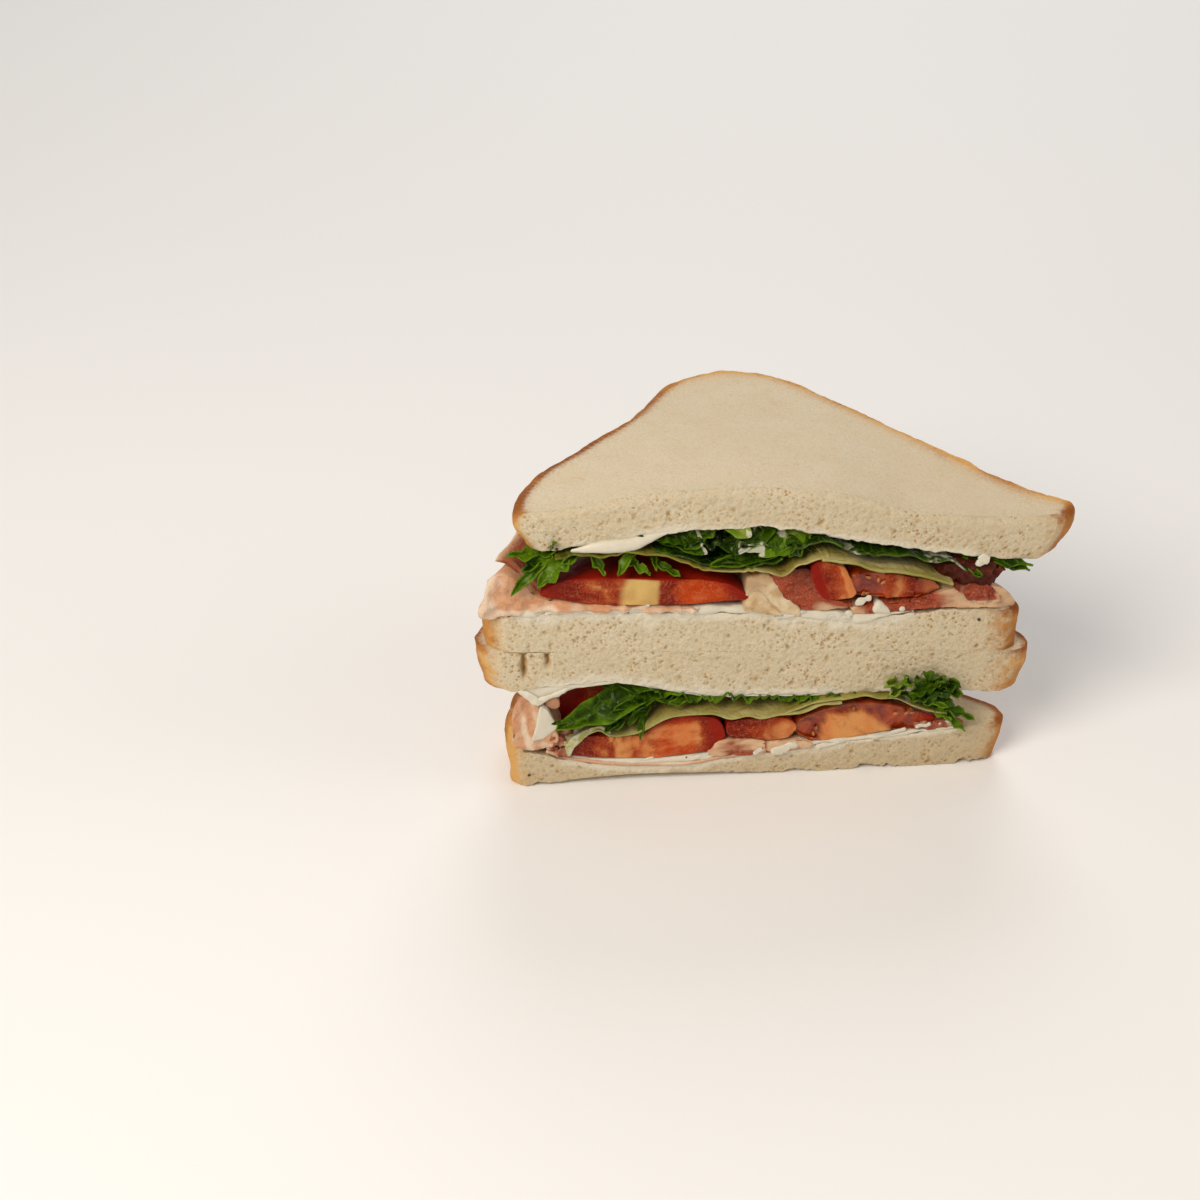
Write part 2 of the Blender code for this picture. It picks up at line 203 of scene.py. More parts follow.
def closed_piece(name, rings, marks, material, nodes):
    """A closed skin over rings (rows, columns, 3), each ring anticlockwise from above and the
    rings in rising order, with a pole at the mean of the first and of the last."""
    rows, columns = rings.shape[:2]
    poles = np.stack((rings[0].mean(axis=0), rings[-1].mean(axis=0)))
    points = np.vstack((rings.reshape(-1, 3), poles))
    low, high = rows * columns, rows * columns + 1
    c = np.arange(columns)
    after = np.roll(c, -1)
    top = (rows - 1) * columns
    fans = np.vstack((np.column_stack((after, c, np.full(columns, low))),
                      np.column_stack((top + c, top + after, np.full(columns, high)))))
    faces = grid_faces(rows, columns, True).tolist() + fans.tolist()
    full = {}
    for mark, values in marks.items():
        values = np.broadcast_to(values, rings.shape[:2])
        full[mark] = np.append(values.ravel(), (values[0].mean(), values[-1].mean()))
    return finish_piece(name, points, faces, full, material, nodes)


def sheets_piece(name, sheets, thickness, material, nodes):
    """One piece from open grids (rows, columns, 3) with their marks, given one thickness."""
    points, faces, marks, first = [], [], {}, 0
    for grid, own in sheets:
        rows, columns = grid.shape[:2]
        points.append(grid.reshape(-1, 3))
        faces.append(grid_faces(rows, columns, False, first))
        for mark, values in own.items():
            marks.setdefault(mark, []).append(np.broadcast_to(values, (rows, columns)).ravel())
        first += rows * columns
    marks = {mark: np.concatenate(parts) for mark, parts in marks.items()}
    obj = finish_piece(name, np.vstack(points), np.vstack(faces).tolist(), marks, material,
                       nodes)
    wall = obj.modifiers.new("thickness", "SOLIDIFY")
    wall.thickness = thickness * MM
    wall.offset = 0.0
    return obj


# ------------------------------------------------------------------ materials
RGBA = {"data_type": "RGBA"}
SMOOTH = {"interpolation_type": "SMOOTHSTEP"}

# Sockets of one name go by number: Math and VectorMath have their values at 0, 1 and 2, and
# Mix has its share at 0, its two numbers at 2 and 3 and its two colours at 6 and 7.


def add(tree, kind, inputs=(), out=None, **settings):
    """Add a shader node with its settings; inputs are values or sockets, and the node's
    first active output, or the one called out, is handed back."""
    node = tree.nodes.new("ShaderNode" + kind)
    for option, value in settings.items():
        setattr(node, option, value)
    for socket, value in dict(inputs).items():
        if isinstance(value, bpy.types.NodeSocket):
            tree.links.new(value, node.inputs[socket])
        else:
            node.inputs[socket].default_value = value
    if out:
        return node.outputs[out]
    return next((socket for socket in node.outputs if socket.enabled), node)


def blank_material(name, marks=""):
    """An empty material, what adds a node to it, the object's coordinates and its marks."""
    found = bpy.data.materials.get(name)
    if found:
        bpy.data.materials.remove(found)
    material = bpy.data.materials.new(name)
    material.use_nodes = True
    material.node_tree.nodes.clear()
    node = functools.partial(add, material.node_tree)
    read = [node("Attribute", out="Fac", attribute_name=mark) for mark in marks.split()]
    return material, node, node("TexCoord", out="Object"), *read


def sized(vector, size, **more):
    """Inputs of a texture whose pattern is size mm wide, on coordinates in metres."""
    return {"Vector": vector, "Scale": 1.0 / (size * MM), **more}


def white_bread(settings):
    """Tin loaf of white bread, baked and sliced: a matt cream crumb full of small round
    holes where it is cut, a close smooth face, and a thin satin brown crust.  Painted shade
    darkens the crumb's holes and cracks, and, through the tone mark, its lower part, its right
    and the bottom slice most.  Mayonnaise pressed into the crumb fills its holes and leaves it
    paler and glossier."""
    material, node, place, crust, cut, pore, bake, smear, tone = blank_material(
        "white_bread_baked", "crust cut pore bake smear tone")
    patches = node("TexNoise", sized(place, 9, Detail=4.0))
    grain = node("TexNoise", sized(place, 0.7, Detail=3.0))
    bent = node("TexNoise", sized(place, 1.4, Detail=2.0), out="Color")
    torn = node("VectorMath", {0: bent, 1: (0.0012, 0.0012, 0.0012), 2: place},
        operation="MULTIPLY_ADD")
    holes = node("TexVoronoi", sized(torn, 1.7))
    pinholes = node("TexVoronoi", sized(torn, 0.75))
    hole = node("MapRange", {"Value": holes, "From Min": 0.36, "From Max": 0.14, "To Max": 0.85},
        **SMOOTH)
    pinhole = node("MapRange", {"Value": pinholes, "From Min": 0.4, "From Max": 0.15, "To Max": 0.5},
        **SMOOTH)
    open_crumb = node("MapRange", {"Value": patches, "From Min": 0.36, "From Max": 0.6, "To Min": 0.25})
    # The holes, pinholes and dents of the cut crumb and its cracks are darkened: painted shade in its
    # recesses.
    pore_shade = hole
    for other, how in ((pinhole, "MAXIMUM"), (open_crumb, "MULTIPLY"), (cut, "MULTIPLY"),
                       (pore, "MAXIMUM")):
        pore_shade = node("Math", {0: pore_shade, 1: other}, operation=how)
    face = node("Mix", {0: patches, 6: settings.face_colour, 7: linear("DCD0BA")}, **RGBA)
    crumb = node("Mix", {0: patches, 6: settings.crumb_colour, 7: linear("DCD1B8")}, **RGBA)
    freckles = node("TexNoise", sized(place, 3.2, Detail=4.0, Roughness=0.6))
    freckled = node("MapRange", {"Value": freckles, "From Min": 0.58, "From Max": 0.72, "To Max": 0.3},
        **SMOOTH)
    speck = node("MapRange", {"Value": grain, "From Min": 0.42, "From Max": 0.7, "To Max": 0.4})
    thin = node("Math", {0: freckles, 1: 0.9, 2: smear}, operation="MULTIPLY_ADD")
    spread = node("Math", {0: grain, 1: 0.5, 2: thin}, operation="MULTIPLY_ADD")
    coated = node("MapRange", {"Value": spread, "From Min": 0.85, "From Max": 1.6, "To Max": 0.8},
        **SMOOTH)
    cream = node("Mix", {0: cut, 6: face, 7: crumb}, **RGBA)
    # Painted shade: the tone mark darkens the crumb towards the right, towards each slice's bottom and
    # most on the bottom slice, and the hole colour darkens its holes and cracks.
    for amount, code in ((tone, "A98E64"), (freckled, "C2A26C"), (speck, "C3AC82"),
                         (pore_shade, "A67F40"), (coated, "DFD7C2")):
        cream = node("Mix", {0: amount, 6: cream, 7: linear(code)}, **RGBA)
    mottle = node("TexNoise", sized(place, 5, Detail=5.0, Roughness=0.65))
    brown = node("Math", {0: mottle, 1: bake}, operation="ADD")
    light_brown = node("MapRange", {"Value": brown, "From Min": 0.55, "From Max": 1.0}, **SMOOTH)
    dark_brown = node("MapRange", {"Value": brown, "From Min": 0.95, "From Max": 1.5}, **SMOOTH)
    tan_and_shade = node("Mix", {0: light_brown, 6: linear("D3A15C"), 7: settings.crust_colour}, **RGBA)
    baked = node("Mix", {0: dark_brown, 6: tan_and_shade, 7: linear("8E4E14")}, **RGBA)
    ragged = node("Math", {0: grain, 1: 0.5, 2: -0.25}, operation="MULTIPLY_ADD")
    edge = node("Math", {0: crust, 1: ragged}, operation="ADD")
    skin = node("MapRange", {"Value": edge, "From Min": 0.08, "From Max": 0.95}, **SMOOTH)
    colour = node("Mix", {0: skin, 6: cream, 7: baked}, **RGBA)
    dry = node("MapRange", {"Value": coated, "To Min": 0.92, "To Max": 0.4})
    rough = node("Mix", {0: skin, 2: dry, 3: 0.62})
    relief = node("Math", {0: holes, 1: cut}, operation="MULTIPLY")
    fine = node("Math", {0: pinholes, 1: 0.35, 2: relief}, operation="MULTIPLY_ADD")
    bump = node("Bump", {"Strength": 0.5, "Distance": 0.0007, "Height": fine})
    shader = node("BsdfPrincipled", {"Base Color": colour, "Roughness": rough, "Normal": bump,
        "IOR": 1.35, "Specular IOR Level": 0.3, "Subsurface Weight": 0.12,
        "Subsurface Radius": (1.0, 0.7, 0.4), "Subsurface Scale": 0.001})
    node("OutputMaterial", {"Surface": shader})
    return material


# ------------------------------------------------------------------ the sandwich's surfaces
# Bread surfaces at the cut face, as (x, z) stations.
TOP_UPPER = ((-24, 96), (-11, 96.2), (0, 97.8), (9, 100.3), (28, 101.1), (47, 101),
             (65.5, 98.2), (76, 96), (83, 92.2), (95, 89.2), (114, 87), (129, 87), (136, 88))
TOP_LOWER = ((-21, 83.5), (-10, 84.2), (0, 85.5), (20, 88), (30, 89), (50, 88.5), (60, 86),
             (80, 81), (100, 77), (115, 74.5), (130, 73))
MIDDLE_UPPER = ((-36, 62.5), (-10, 62.5), (20, 61), (40, 60), (60, 57.5), (75, 54.5),
                (90, 57), (115, 57), (124, 55))
MIDDLE_SEAM = ((-36, 50.5), (124, 41.5))
MIDDLE_LOWER = ((-34, 34), (-23, 36), (5, 37.5), (20, 33.5), (30, 30.5), (60, 29),
                (80, 28.8), (110, 28), (125, 26))
BOTTOM_UPPER = ((-28, 15), (-20, 12), (-12, 9.8), (0, 7), (12, 5.8), (25, 5.5), (35, 7),
                (60, 9.5), (80, 11), (100, 13), (122, 15))
BOTTOM_ARCH = ((-24, 0), (-14, 1), (0, 2.8), (20, 2.5), (35, 1.8), (50, 0.8), (65, 0))
UPPER_DECK = (MIDDLE_UPPER, TOP_LOWER)
LOWER_DECK = (BOTTOM_UPPER, MIDDLE_LOWER)
PROFILE_SOFTNESS = 4


def level(stations, x, y):
    """Height of a bread surface: its profile at the cut, easing to the straight line between
    its ends at the loaf's corner."""
    line = np.interp(x, (stations[0][0], stations[-1][0]), (stations[0][1], stations[-1][1]))
    bend = 1 - ease(0, SLICE_DEPTH, y)
    return line + (curve(stations, x, PROFILE_SOFTNESS) - line) * bend


# How far a slice's left and right sides have come in, as (depth, distance) stations.
LEFT_SIDE = ((0, 0), (9, 1), (18, 5), (26, 11), (33.5, 20), (41, 28), (47, 34), (54, 39),
             (64, 44), (75, 51))
RIGHT_SIDE = ((0, 0), (9, 3), (17, 10), (36.5, 30), (62, 57), (75, 68))
CUT_LEFT, CUT_RIGHT = -34, 124


def settle(grid, nodes):
    """Carry a filling back through the deck that its node is named for: each point keeps the
    share of the deck's height and of the slice's width that it has at the cut."""
    floor, ceiling = UPPER_DECK if "upper" in nodes else LOWER_DECK
    x, y, z = np.moveaxis(grid, -1, 0)
    low, high = curve(floor, x, PROFILE_SOFTNESS), curve(ceiling, x, PROFILE_SOFTNESS)
    rise = (z - low) / (high - low)
    back = np.maximum(y, 0)
    margin = 2 * ease(0, 10, back)
    left = CUT_LEFT + curve(LEFT_SIDE, back, 0) + margin
    right = CUT_RIGHT - curve(RIGHT_SIDE, back, 0) - margin
    x = left + (x - CUT_LEFT) / (CUT_RIGHT - CUT_LEFT) * (right - left)
    low, high = level(floor, x, back), level(ceiling, x, back)
    return xyz(x, y, low + rise * (high - low))


# ------------------------------------------------------------------ bread
# Crust of one slice in plan between its two bevelled ends, from right to left.
CRUST_BACK = ((150, 17), (130, 36.5), (103, 62), (92, 75), (82, 82.5), (70, 84.5), (60, 82),
              (51, 75), (44, 64), (39, 54), (34, 47), (28, 41), (20, 33.5), (11, 26), (5, 18))
SLICE_LENGTH, SLICE_THICKNESS = 160, 12.5
CORNER_AT, CORNER_SPREAD, CORNER_RISE = 37, 16, 1.5
RIM, PRESSED_RIM = 1.7, 0.15
CUT_COLUMNS, CRUST_COLUMNS, WALL_ROWS = 350, 380, 30
ARCH_DEPTH = 14              # how far back the bottom slice stands off the floor

# Each slice: left end and length of its cut, push of its squarer left corner, taper of its
# wall, the width of its crust's bevels (left, right), how far browning reaches in from them,
# the rounding of its edges (lower, upper), rows of points over its faces, its surfaces, how
# much painted shade darkens its crumb, and the mayonnaise pressed into its cut: left end,
# right end, height in mm and whether the band is along the upper edge.
SLICES = {
    "bread_bottom": dict(
        start=-28, length=151, corner=12.5, taper=1.6, bevels=(4, 5), fades=(4.4, 4.2),
        rims=(0.8, 0.9), face_rows=15, under=BOTTOM_ARCH, over=BOTTOM_UPPER, tan_and_shade=0.34,
        smears=((-12, 76, 2.4, True), (76, 108, 1.2, True))),
    "bread_lower_middle": dict(
        start=-36, length=164, corner=0, taper=2.5, bevels=(7, 4.5), fades=(4.4, 7.4),
        rims=(RIM, PRESSED_RIM), face_rows=15, under=MIDDLE_LOWER, over=MIDDLE_SEAM, tan_and_shade=0.06,
        smears=((-19, 74, 3, False), (74, 104, 1.6, False))),
    "bread_upper_middle": dict(
        start=-33.6, length=157.8, corner=0, taper=0.5, bevels=(6.5, 4.5), fades=(4.2, 7.4),
        rims=(PRESSED_RIM, RIM), face_rows=15, under=MIDDLE_SEAM, over=MIDDLE_UPPER, tan_and_shade=0,
        smears=((-24, 49, 3.2, True), (49, 92, 3.4, True))),
    "bread_top": dict(
        start=-24.4, length=162, corner=0, taper=4, bevels=(3.2, 6.5), fades=(1.8, 5.2),
        rims=(RIM, 2.2), face_rows=26, under=TOP_LOWER, over=TOP_UPPER, tan_and_shade=0.04,
        smears=((-8, 28, 2.6, False), (28, 60, 1, False), (60, 112, 1.6, False))),
}


def crust_line(start, length, corner, bevels):
    """Plan of a slice's crust from the right end of the cut round to its left end."""
    wide_left, wide_right = bevels
    right = ((SLICE_LENGTH - wide_right, 0),
             (SLICE_LENGTH - 0.22 * wide_right, 0.42 * wide_right),
             (SLICE_LENGTH, 1.1 * wide_right), (157.5, 9.5 + 0.2 * wide_right))
    left = ((1.2, 9 + 0.3 * wide_left), (0, 1 * wide_left),
            (0.25 * wide_left, 0.4 * wide_left), (wide_left, 0))
    u, v = through(right + CRUST_BACK + left, CRUST_COLUMNS).T
    bulge = corner * bell(v, CORNER_AT, CORNER_SPREAD) * (u < 60) * (v > 0)
    return np.column_stack((start + u * length / SLICE_LENGTH - bulge, v))


def slice_ring(crust, inset):
    """Ring round a slice: the crust line moved in by inset, then the straight cut.  At the
    ends of the cut the line only moves along the cut, which stays at y = 0."""
    tangent = np.gradient(crust, axis=0)
    inward = np.column_stack((-tangent[:, 1], tangent[:, 0]))
    inward[:, 1] *= ease(0, 7, crust[:, 1])
    inward /= np.linalg.norm(inward, axis=1)[:, None]
    edge = crust + inward * inset
    edge[:, 1] = np.maximum(edge[:, 1], 0)
    cut = np.linspace(edge[-1], edge[0], CUT_COLUMNS + 2)[1:-1]
    return np.vstack((cut, edge))


def rounded(rises, below, above):
    """How far in a slice's wall lies: quarter circles of radius below and above at its rims."""
    lip = np.minimum(np.minimum(rises * SLICE_THICKNESS / below,
                                (1 - rises) * SLICE_THICKNESS / above), 1)
    size = np.where(rises < 0.5, below, above)
    return size * (1 - np.sqrt(1 - (1 - lip) ** 2))


def slice_grid(name, crust, middle, taper, bevels, rims, face_rows, under, over):
    """Rings from a slice's underside round its wall to its upper face, the wall's inset a
    taper plus a rounded rim.  Also each ring's rise and each point's distance from the
    crust."""
    on_top = name == "bread_top"
    rises = 0.5 - 0.5 * np.cos(np.linspace(0, np.pi, WALL_ROWS))
    rises = 0.6 * rises + 0.4 * np.linspace(0, 1, WALL_ROWS)
    insets = taper * (1 - ease(0, 0.75, rises)) + rounded(rises, *rims)
    cut_back = rounded(rises, 0.15 * rims[0], (0.85 if on_top else 0.15) * rims[1])
    shares = (np.arange(1, face_rows + 1) / (face_rows + 1)) ** 1.7
    rows = ([(insets[0], s, 0, cut_back[0]) for s in shares[::-1]]
            + [(i, 0, r, b) for i, r, b in zip(insets, rises, cut_back)]
            + [(insets[-1], s, 1, cut_back[-1]) for s in shares])
    baked = crust[:, 1] > 0.35 * np.where(crust[:, 0] > middle[0], bevels[1], bevels[0])
    rings, gaps = [], []
    for inset, inward, rise, back in rows:
        rim = slice_ring(crust, inset)
        rim[:, 1] = np.maximum(rim[:, 1], back)
        ring = rim + (middle - rim) * inward
        x, y = ring.T
        low, high = level(under, x, y), level(over, x, y)
        if on_top:
            high = high + CORNER_RISE * ease(0, 60, y)
        if name == "bread_bottom":
            arch = np.clip(1 - y / ARCH_DEPTH, 0, 1) ** 2
            low = curve(under, x, PROFILE_SOFTNESS) * arch
            curl = ease(-29.6, -26.2, x) * ease(-22.8, -24.8, x) * ease(16, 4, y)
            high = high + 12.6 * curl
        rings.append(np.column_stack((x, y, low + (high - low) * rise)))
        edge = rim[CUT_COLUMNS:][baked]
        gap = np.linalg.norm(ring[:, None, :] - edge[None, ::3, :], axis=-1).min(axis=1)
        gaps.append(np.maximum(gap - 0.4, 0))
    return np.stack(rings), np.array([row[2] for row in rows])[:, None], np.stack(gaps)


def pressed_mayonnaise(grid, floor, ceiling, smears):
    """How thickly mayonnaise covers each point: bands of noisy height along an edge."""
    x, y, z = np.moveaxis(grid, -1, 0)
    smear = np.zeros_like(x)
    for left, right, high, above in smears:
        gap = ceiling - z if above else z - floor
        patch = 1.3 * high * (1 + 0.9 * cloud(grid, 5, 300, 3))
        ends = ease(left - 3, left + 3, x) * ease(right + 3, right - 3, x)
        smear = np.maximum(smear, ease(1.4 * patch, 0, gap) * ends * (y < 3))
    return smear


def open_holes(grid, settings, rise, cut_wall, smear, on_top):
    """Depth of the holes in cut crumb: large and small bubbles on a lattice bent by noise,
    shallower at the slice's two lips, under pressed mayonnaise and high in the top slice."""
    bent = grid + 0.7 * shift(grid, 1.8, 33, 1)
    spots = bubbles(bent, settings.hole_spacing, 0.2, settings.hole_size, 3)
    pore = np.maximum(spots, 0.75 * bubbles(bent, 1.05, 0.1, 0.45, 31))
    lip = ease(0, 0.06, rise) * ease(1, 0.94, rise)
    dent = np.minimum(pore, 1.1) * 0.8 * cut_wall * (1 - 0.6 * smear) * lip
    if on_top:
        dent = dent * (1 - 0.6 * ease(0.35, 0.95, rise))
    return dent


def swollen(grid, on_crust, on_face):
    """How far the skin stands out: noise of three sizes less dimples over the crust, fading
    towards the cut, and a wide and a fine noise over the two faces."""
    blister = (cloud(grid, 9, 8, 2) * 0.5 + cloud(grid, 4.5, 9, 3) * 0.35
               + cloud(grid, 1.4, 12, 2) * 0.12 - 0.22 * bubbles(grid, 2.6, 0.1, 0.8, 40))
    blister = blister * on_crust * ease(0, 4, grid[..., 1])
    swell = cloud(grid, 22, 21, 3) * 0.5 * on_face
    skin = cloud(grid, 2.2, 25, 2) * 0.05 * on_face
    return blister + swell + skin


def cracks(grid, cut_wall):
    """Two upright cracks and a crease over them, at the left of a slice's cut: bell curves
    across wandering lines, eased off at their ends."""
    x, _, z = np.moveaxis(grid, -1, 0)
    crack = np.zeros_like(x)
    wander = cloud(grid, 3, 77, 2) * 0.9
    for at, low, spread in ((-22.3, 40, 0.8), (-15.2, 43.5, 0.7)):
        line = bell(x + wander, at, spread) * ease(low - 1, low + 2, z)
        crack = np.maximum(crack, line * ease(51.5, 49.5, z) * cut_wall)
    crease = bell(z, 50, 0.6) * ease(-31, -28, x) * ease(-12, -14, x) * cut_wall * 0.8
    return np.maximum(crack, crease)


def tear_edges(name, grid, on_cut, above_floor, below_ceiling, rims):
    """Move the points along a cut's lower and upper edges up and down by noise along x, and
    the bottom slice's lower edge up where it has crumbled."""
    along_cut = grid * (1, 0, 0)
    ragged = (cloud(along_cut, 4, 52, 3) * 0.8 + cloud(along_cut, 1.6, 53, 2) * 0.4) * on_cut
    ragged = ragged * ease(4, 0, grid[..., 1])
    if rims[0] > 1:
        grid[..., 2] += ragged * ease(2.4, 0, above_floor)
    if rims[1] > 0.5 and name != "bread_top":
        grid[..., 2] += ragged * ease(2.4, 0, below_ceiling)
    if name == "bread_bottom":
        _, y, z = np.moveaxis(grid, -1, 0)
        torn = (np.maximum(cloud(along_cut + 9, 5, 55, 3) - 0.05, 0) * 3.2
                + np.maximum(cloud(along_cut + 4, 1.7, 57, 2), 0) * 1.3)
        z = z + torn * ease(2.5, 0.5, y) * ease(2.4, 0.2, z)
        grid[..., 2] = np.maximum(z, 0)


def browning(grid, fade, rise, distance, on_top):
    """Marks for the crust and for how darkly it is baked: the crust fades by e over fade mm
    from its edge, patchily; the baking varies by noise and grows away from the cut."""
    x, y, _ = np.moveaxis(grid, -1, 0)
    patchy = 1 + 0.65 * cloud(grid, 2.2, 64, 3) * ease(0.3, 2, distance)
    crust = np.clip(np.exp(-distance / fade) * patchy, 0, 1)
    bake = 0.12 + 0.25 * cloud(grid, 11, 61, 2) + 0.35 * bell(rise, 0.97, 0.12)
    toasted = 0.35 * ease(0.5, 7, y) + 0.1 * ease(20, 40, y)
    toasted = np.maximum(toasted, 0.55 * ease(-4, 3, y) * (x > 60))
    if on_top:
        pale_rim = ease(15, 40, x) * ease(0.6, 0.9, rise) * ease(3, 9, y)
        bake = bake - 0.75 * pale_rim
        crust = np.maximum(crust, np.exp(-distance / 3.4) * 0.8 * pale_rim)
    return crust, bake + toasted


def bread_slice(name, settings, material, start, length, corner, taper, bevels, fades, rims,
                face_rows, under, over, tan_and_shade, smears):
    """A slice of bread: its rings, with holes opened inward where it is cut, a crust that
    noise dimples and blisters, and ragged edges along the cut."""
    on_top = name == "bread_top"
    crust = crust_line(start, length, corner, bevels)
    middle = np.array((start + 0.47 * length, 0.36 * SLICE_DEPTH))
    grid, rise, distance = slice_grid(name, crust, middle, taper, bevels, rims, face_rows,
                                      under, over)
    column, row = np.arange(grid.shape[1]), np.arange(grid.shape[0])
    on_cut = ease(-0.5, 6, column) * ease(CUT_COLUMNS + 0.5, CUT_COLUMNS - 6, column)
    on_cut = (on_cut * (column < CUT_COLUMNS))[None, :]
    on_wall = ((row >= face_rows) & (row < face_rows + WALL_ROWS)).astype(float)[:, None]
    x, y, z = np.moveaxis(grid, -1, 0)
    near_cut = np.exp(-np.maximum(y + 3 * cloud(grid, 4, 44, 3), 0) / 3.4)
    cut = np.maximum(on_cut * on_wall, near_cut * 0.9 * (distance > 1.5))
    bevel = np.where(x > middle[0], bevels[1], bevels[0])
    cut = np.maximum(cut, ease(1.3, 0.6, y / bevel) * on_wall * ease(0, 2, distance))
    cut_wall = on_cut * on_wall * ease(0, 2.5, distance)
    floor, ceiling = z[face_rows], z[face_rows + WALL_ROWS - 1]

    smear = pressed_mayonnaise(grid, floor, ceiling, smears)
    dent = open_holes(grid, settings, rise, cut_wall, smear, on_top)
    crack = cracks(grid, cut_wall) if name == "bread_lower_middle" else 0
    lumps = cloud(grid, 3.2, 5, 3) * 0.16 * cut_wall
    grid = push(grid, swollen(grid, (1 - on_cut) * on_wall, 1 - on_wall) + lumps - dent
                - 2.2 * crack)
    tear_edges(name, grid, on_cut, z - floor, ceiling - z, rims)

    x, y, _ = np.moveaxis(grid, -1, 0)
    fade = np.where(x > middle[0], fades[1], fades[0])
    fade = 1.4 + (fade - 1.4) * ease(14, 5, y) * on_wall
    crust_mark, bake = browning(grid, fade, rise, distance, on_top)
    marks = {"crust": crust_mark, "cut": cut, "smear": smear, "bake": bake,
             # pore: painted shade in the crumb's dents and cracks
             "pore": np.clip(np.maximum(dent * 1.3, crack), 0, 1),
             # tone: painted shade, darker towards the right and towards the slice's bottom, by the
             # slice's own amount
             "tone": 0.1 * ease(60, 115, x) + tan_and_shade * (0.8 + 0.4 * ease(0.7, 0, rise))}
    return closed_piece(name + "_crumb", grid, marks, material, name)


# ------------------------------------------------------------------ bodies of the fillings
def outline(span, depth, spacing, power):
    """Plan of a filling, anticlockwise: straight along the cut over span, then back round
    half a superellipse of the given depth.  Also the share of each point that is front."""
    x0, x1 = span
    ahead = max(int((x1 - x0) / spacing), 8)
    around = max(int((x1 - x0 + 2 * depth) / spacing * 0.45), 16)
    turn = np.linspace(0, np.pi, around + 2)[1:-1]
    middle, half = 0.5 * (x0 + x1), 0.5 * (x1 - x0)
    bend = 2 / power
    back = np.column_stack((middle + half * np.sign(np.cos(turn)) * np.abs(np.cos(turn)) ** bend,
                            depth * np.sin(turn) ** bend))
    straight = np.column_stack((np.linspace(x0, x1, ahead), np.zeros(ahead)))
    return np.vstack((straight, back)), np.append(np.ones(ahead), np.zeros(around))


def slab(span, depth, low, high, spacing=0.6, power=2.2, edge=1, cut_edge=0.25, proud=0.3,
         behind=0, lean=0, walls=14, faces=9, slack=0.5):
    """Rings of a filling between two (x, z) profiles, rising from its underside round its wall
    to its top.  The wall is half round: inset by edge (cut_edge along the cut) times
    1 - sqrt(1 - s^2), s running from -1 at the bottom to 1 at the top.  Also the rise, the
    share towards the middle and the share of front of every point."""
    plan, ahead = outline(span, depth, spacing, power)
    middle = np.array((0.5 * (span[0] + span[1]), 0.42 * depth))
    away = plan - middle
    reach = np.linalg.norm(away, axis=1, keepdims=True)
    rounding = np.where(ahead > 0, cut_edge, edge)
    for _ in range(6):
        rounding = 0.5 * rounding + 0.25 * (np.roll(rounding, 1) + np.roll(rounding, -1))
    s = np.sin(np.linspace(-0.5, 0.5, walls) * np.pi)
    inward = (np.arange(1, faces + 1) / (faces + 1)) ** 1.35
    rows = ([(1, k, 0) for k in inward[::-1]] + [(v * v, 0, 0.5 + 0.5 * v) for v in s]
            + [(1, k, 1) for k in inward])
    rings = []
    for square, inner, rise in rows:
        inset = rounding[:, None] * (1 - math.sqrt(max(1 - square, 0)))
        ring = middle + away * (1 - inset / reach) * (1 - inner)
        x, y = ring.T
        floor, top = curve(low, x, slack), curve(high, x, slack)
        x = x + lean * y
        rings.append(np.column_stack((x, y + behind - proud, floor + (top - floor) * rise)))
    grid = np.stack(rings)
    shape = grid.shape[:2]
    rise = np.broadcast_to(np.array([r[2] for r in rows])[:, None], shape)
    inner = np.broadcast_to(np.array([r[1] for r in rows])[:, None], shape)
    ahead = np.broadcast_to(ahead[None, :], shape) * (inner == 0)
    return grid, rise, inner, ahead


def fold_sheet(line, depth, front=0, behind=0, lean=0, spacing=0.7, deep_rows=26):
    """A sheet whose (x, z) line at the cut is carried straight back: rows go from front ahead
    of the cut to depth, closest together near the cut.  Also its shares along and back."""
    steps = np.linalg.norm(np.diff(np.array(line, dtype=float), axis=0), axis=1).sum()
    columns = max(int(steps / spacing), 12)
    at = through(line, columns)
    back = np.linspace(0, 1, deep_rows) ** 1.5
    y = behind - front + (depth + front - behind) * back
    grid = np.empty((deep_rows, columns, 3))
    grid[..., 0] = at[None, :, 0] + lean * np.maximum(y, 0)[:, None]
    grid[..., 1] = y[:, None]
    grid[..., 2] = at[None, :, 1]
    along = np.broadcast_to(np.linspace(0, 1, columns), grid.shape[:2])
    return grid, along, np.broadcast_to(back[:, None], grid.shape[:2])


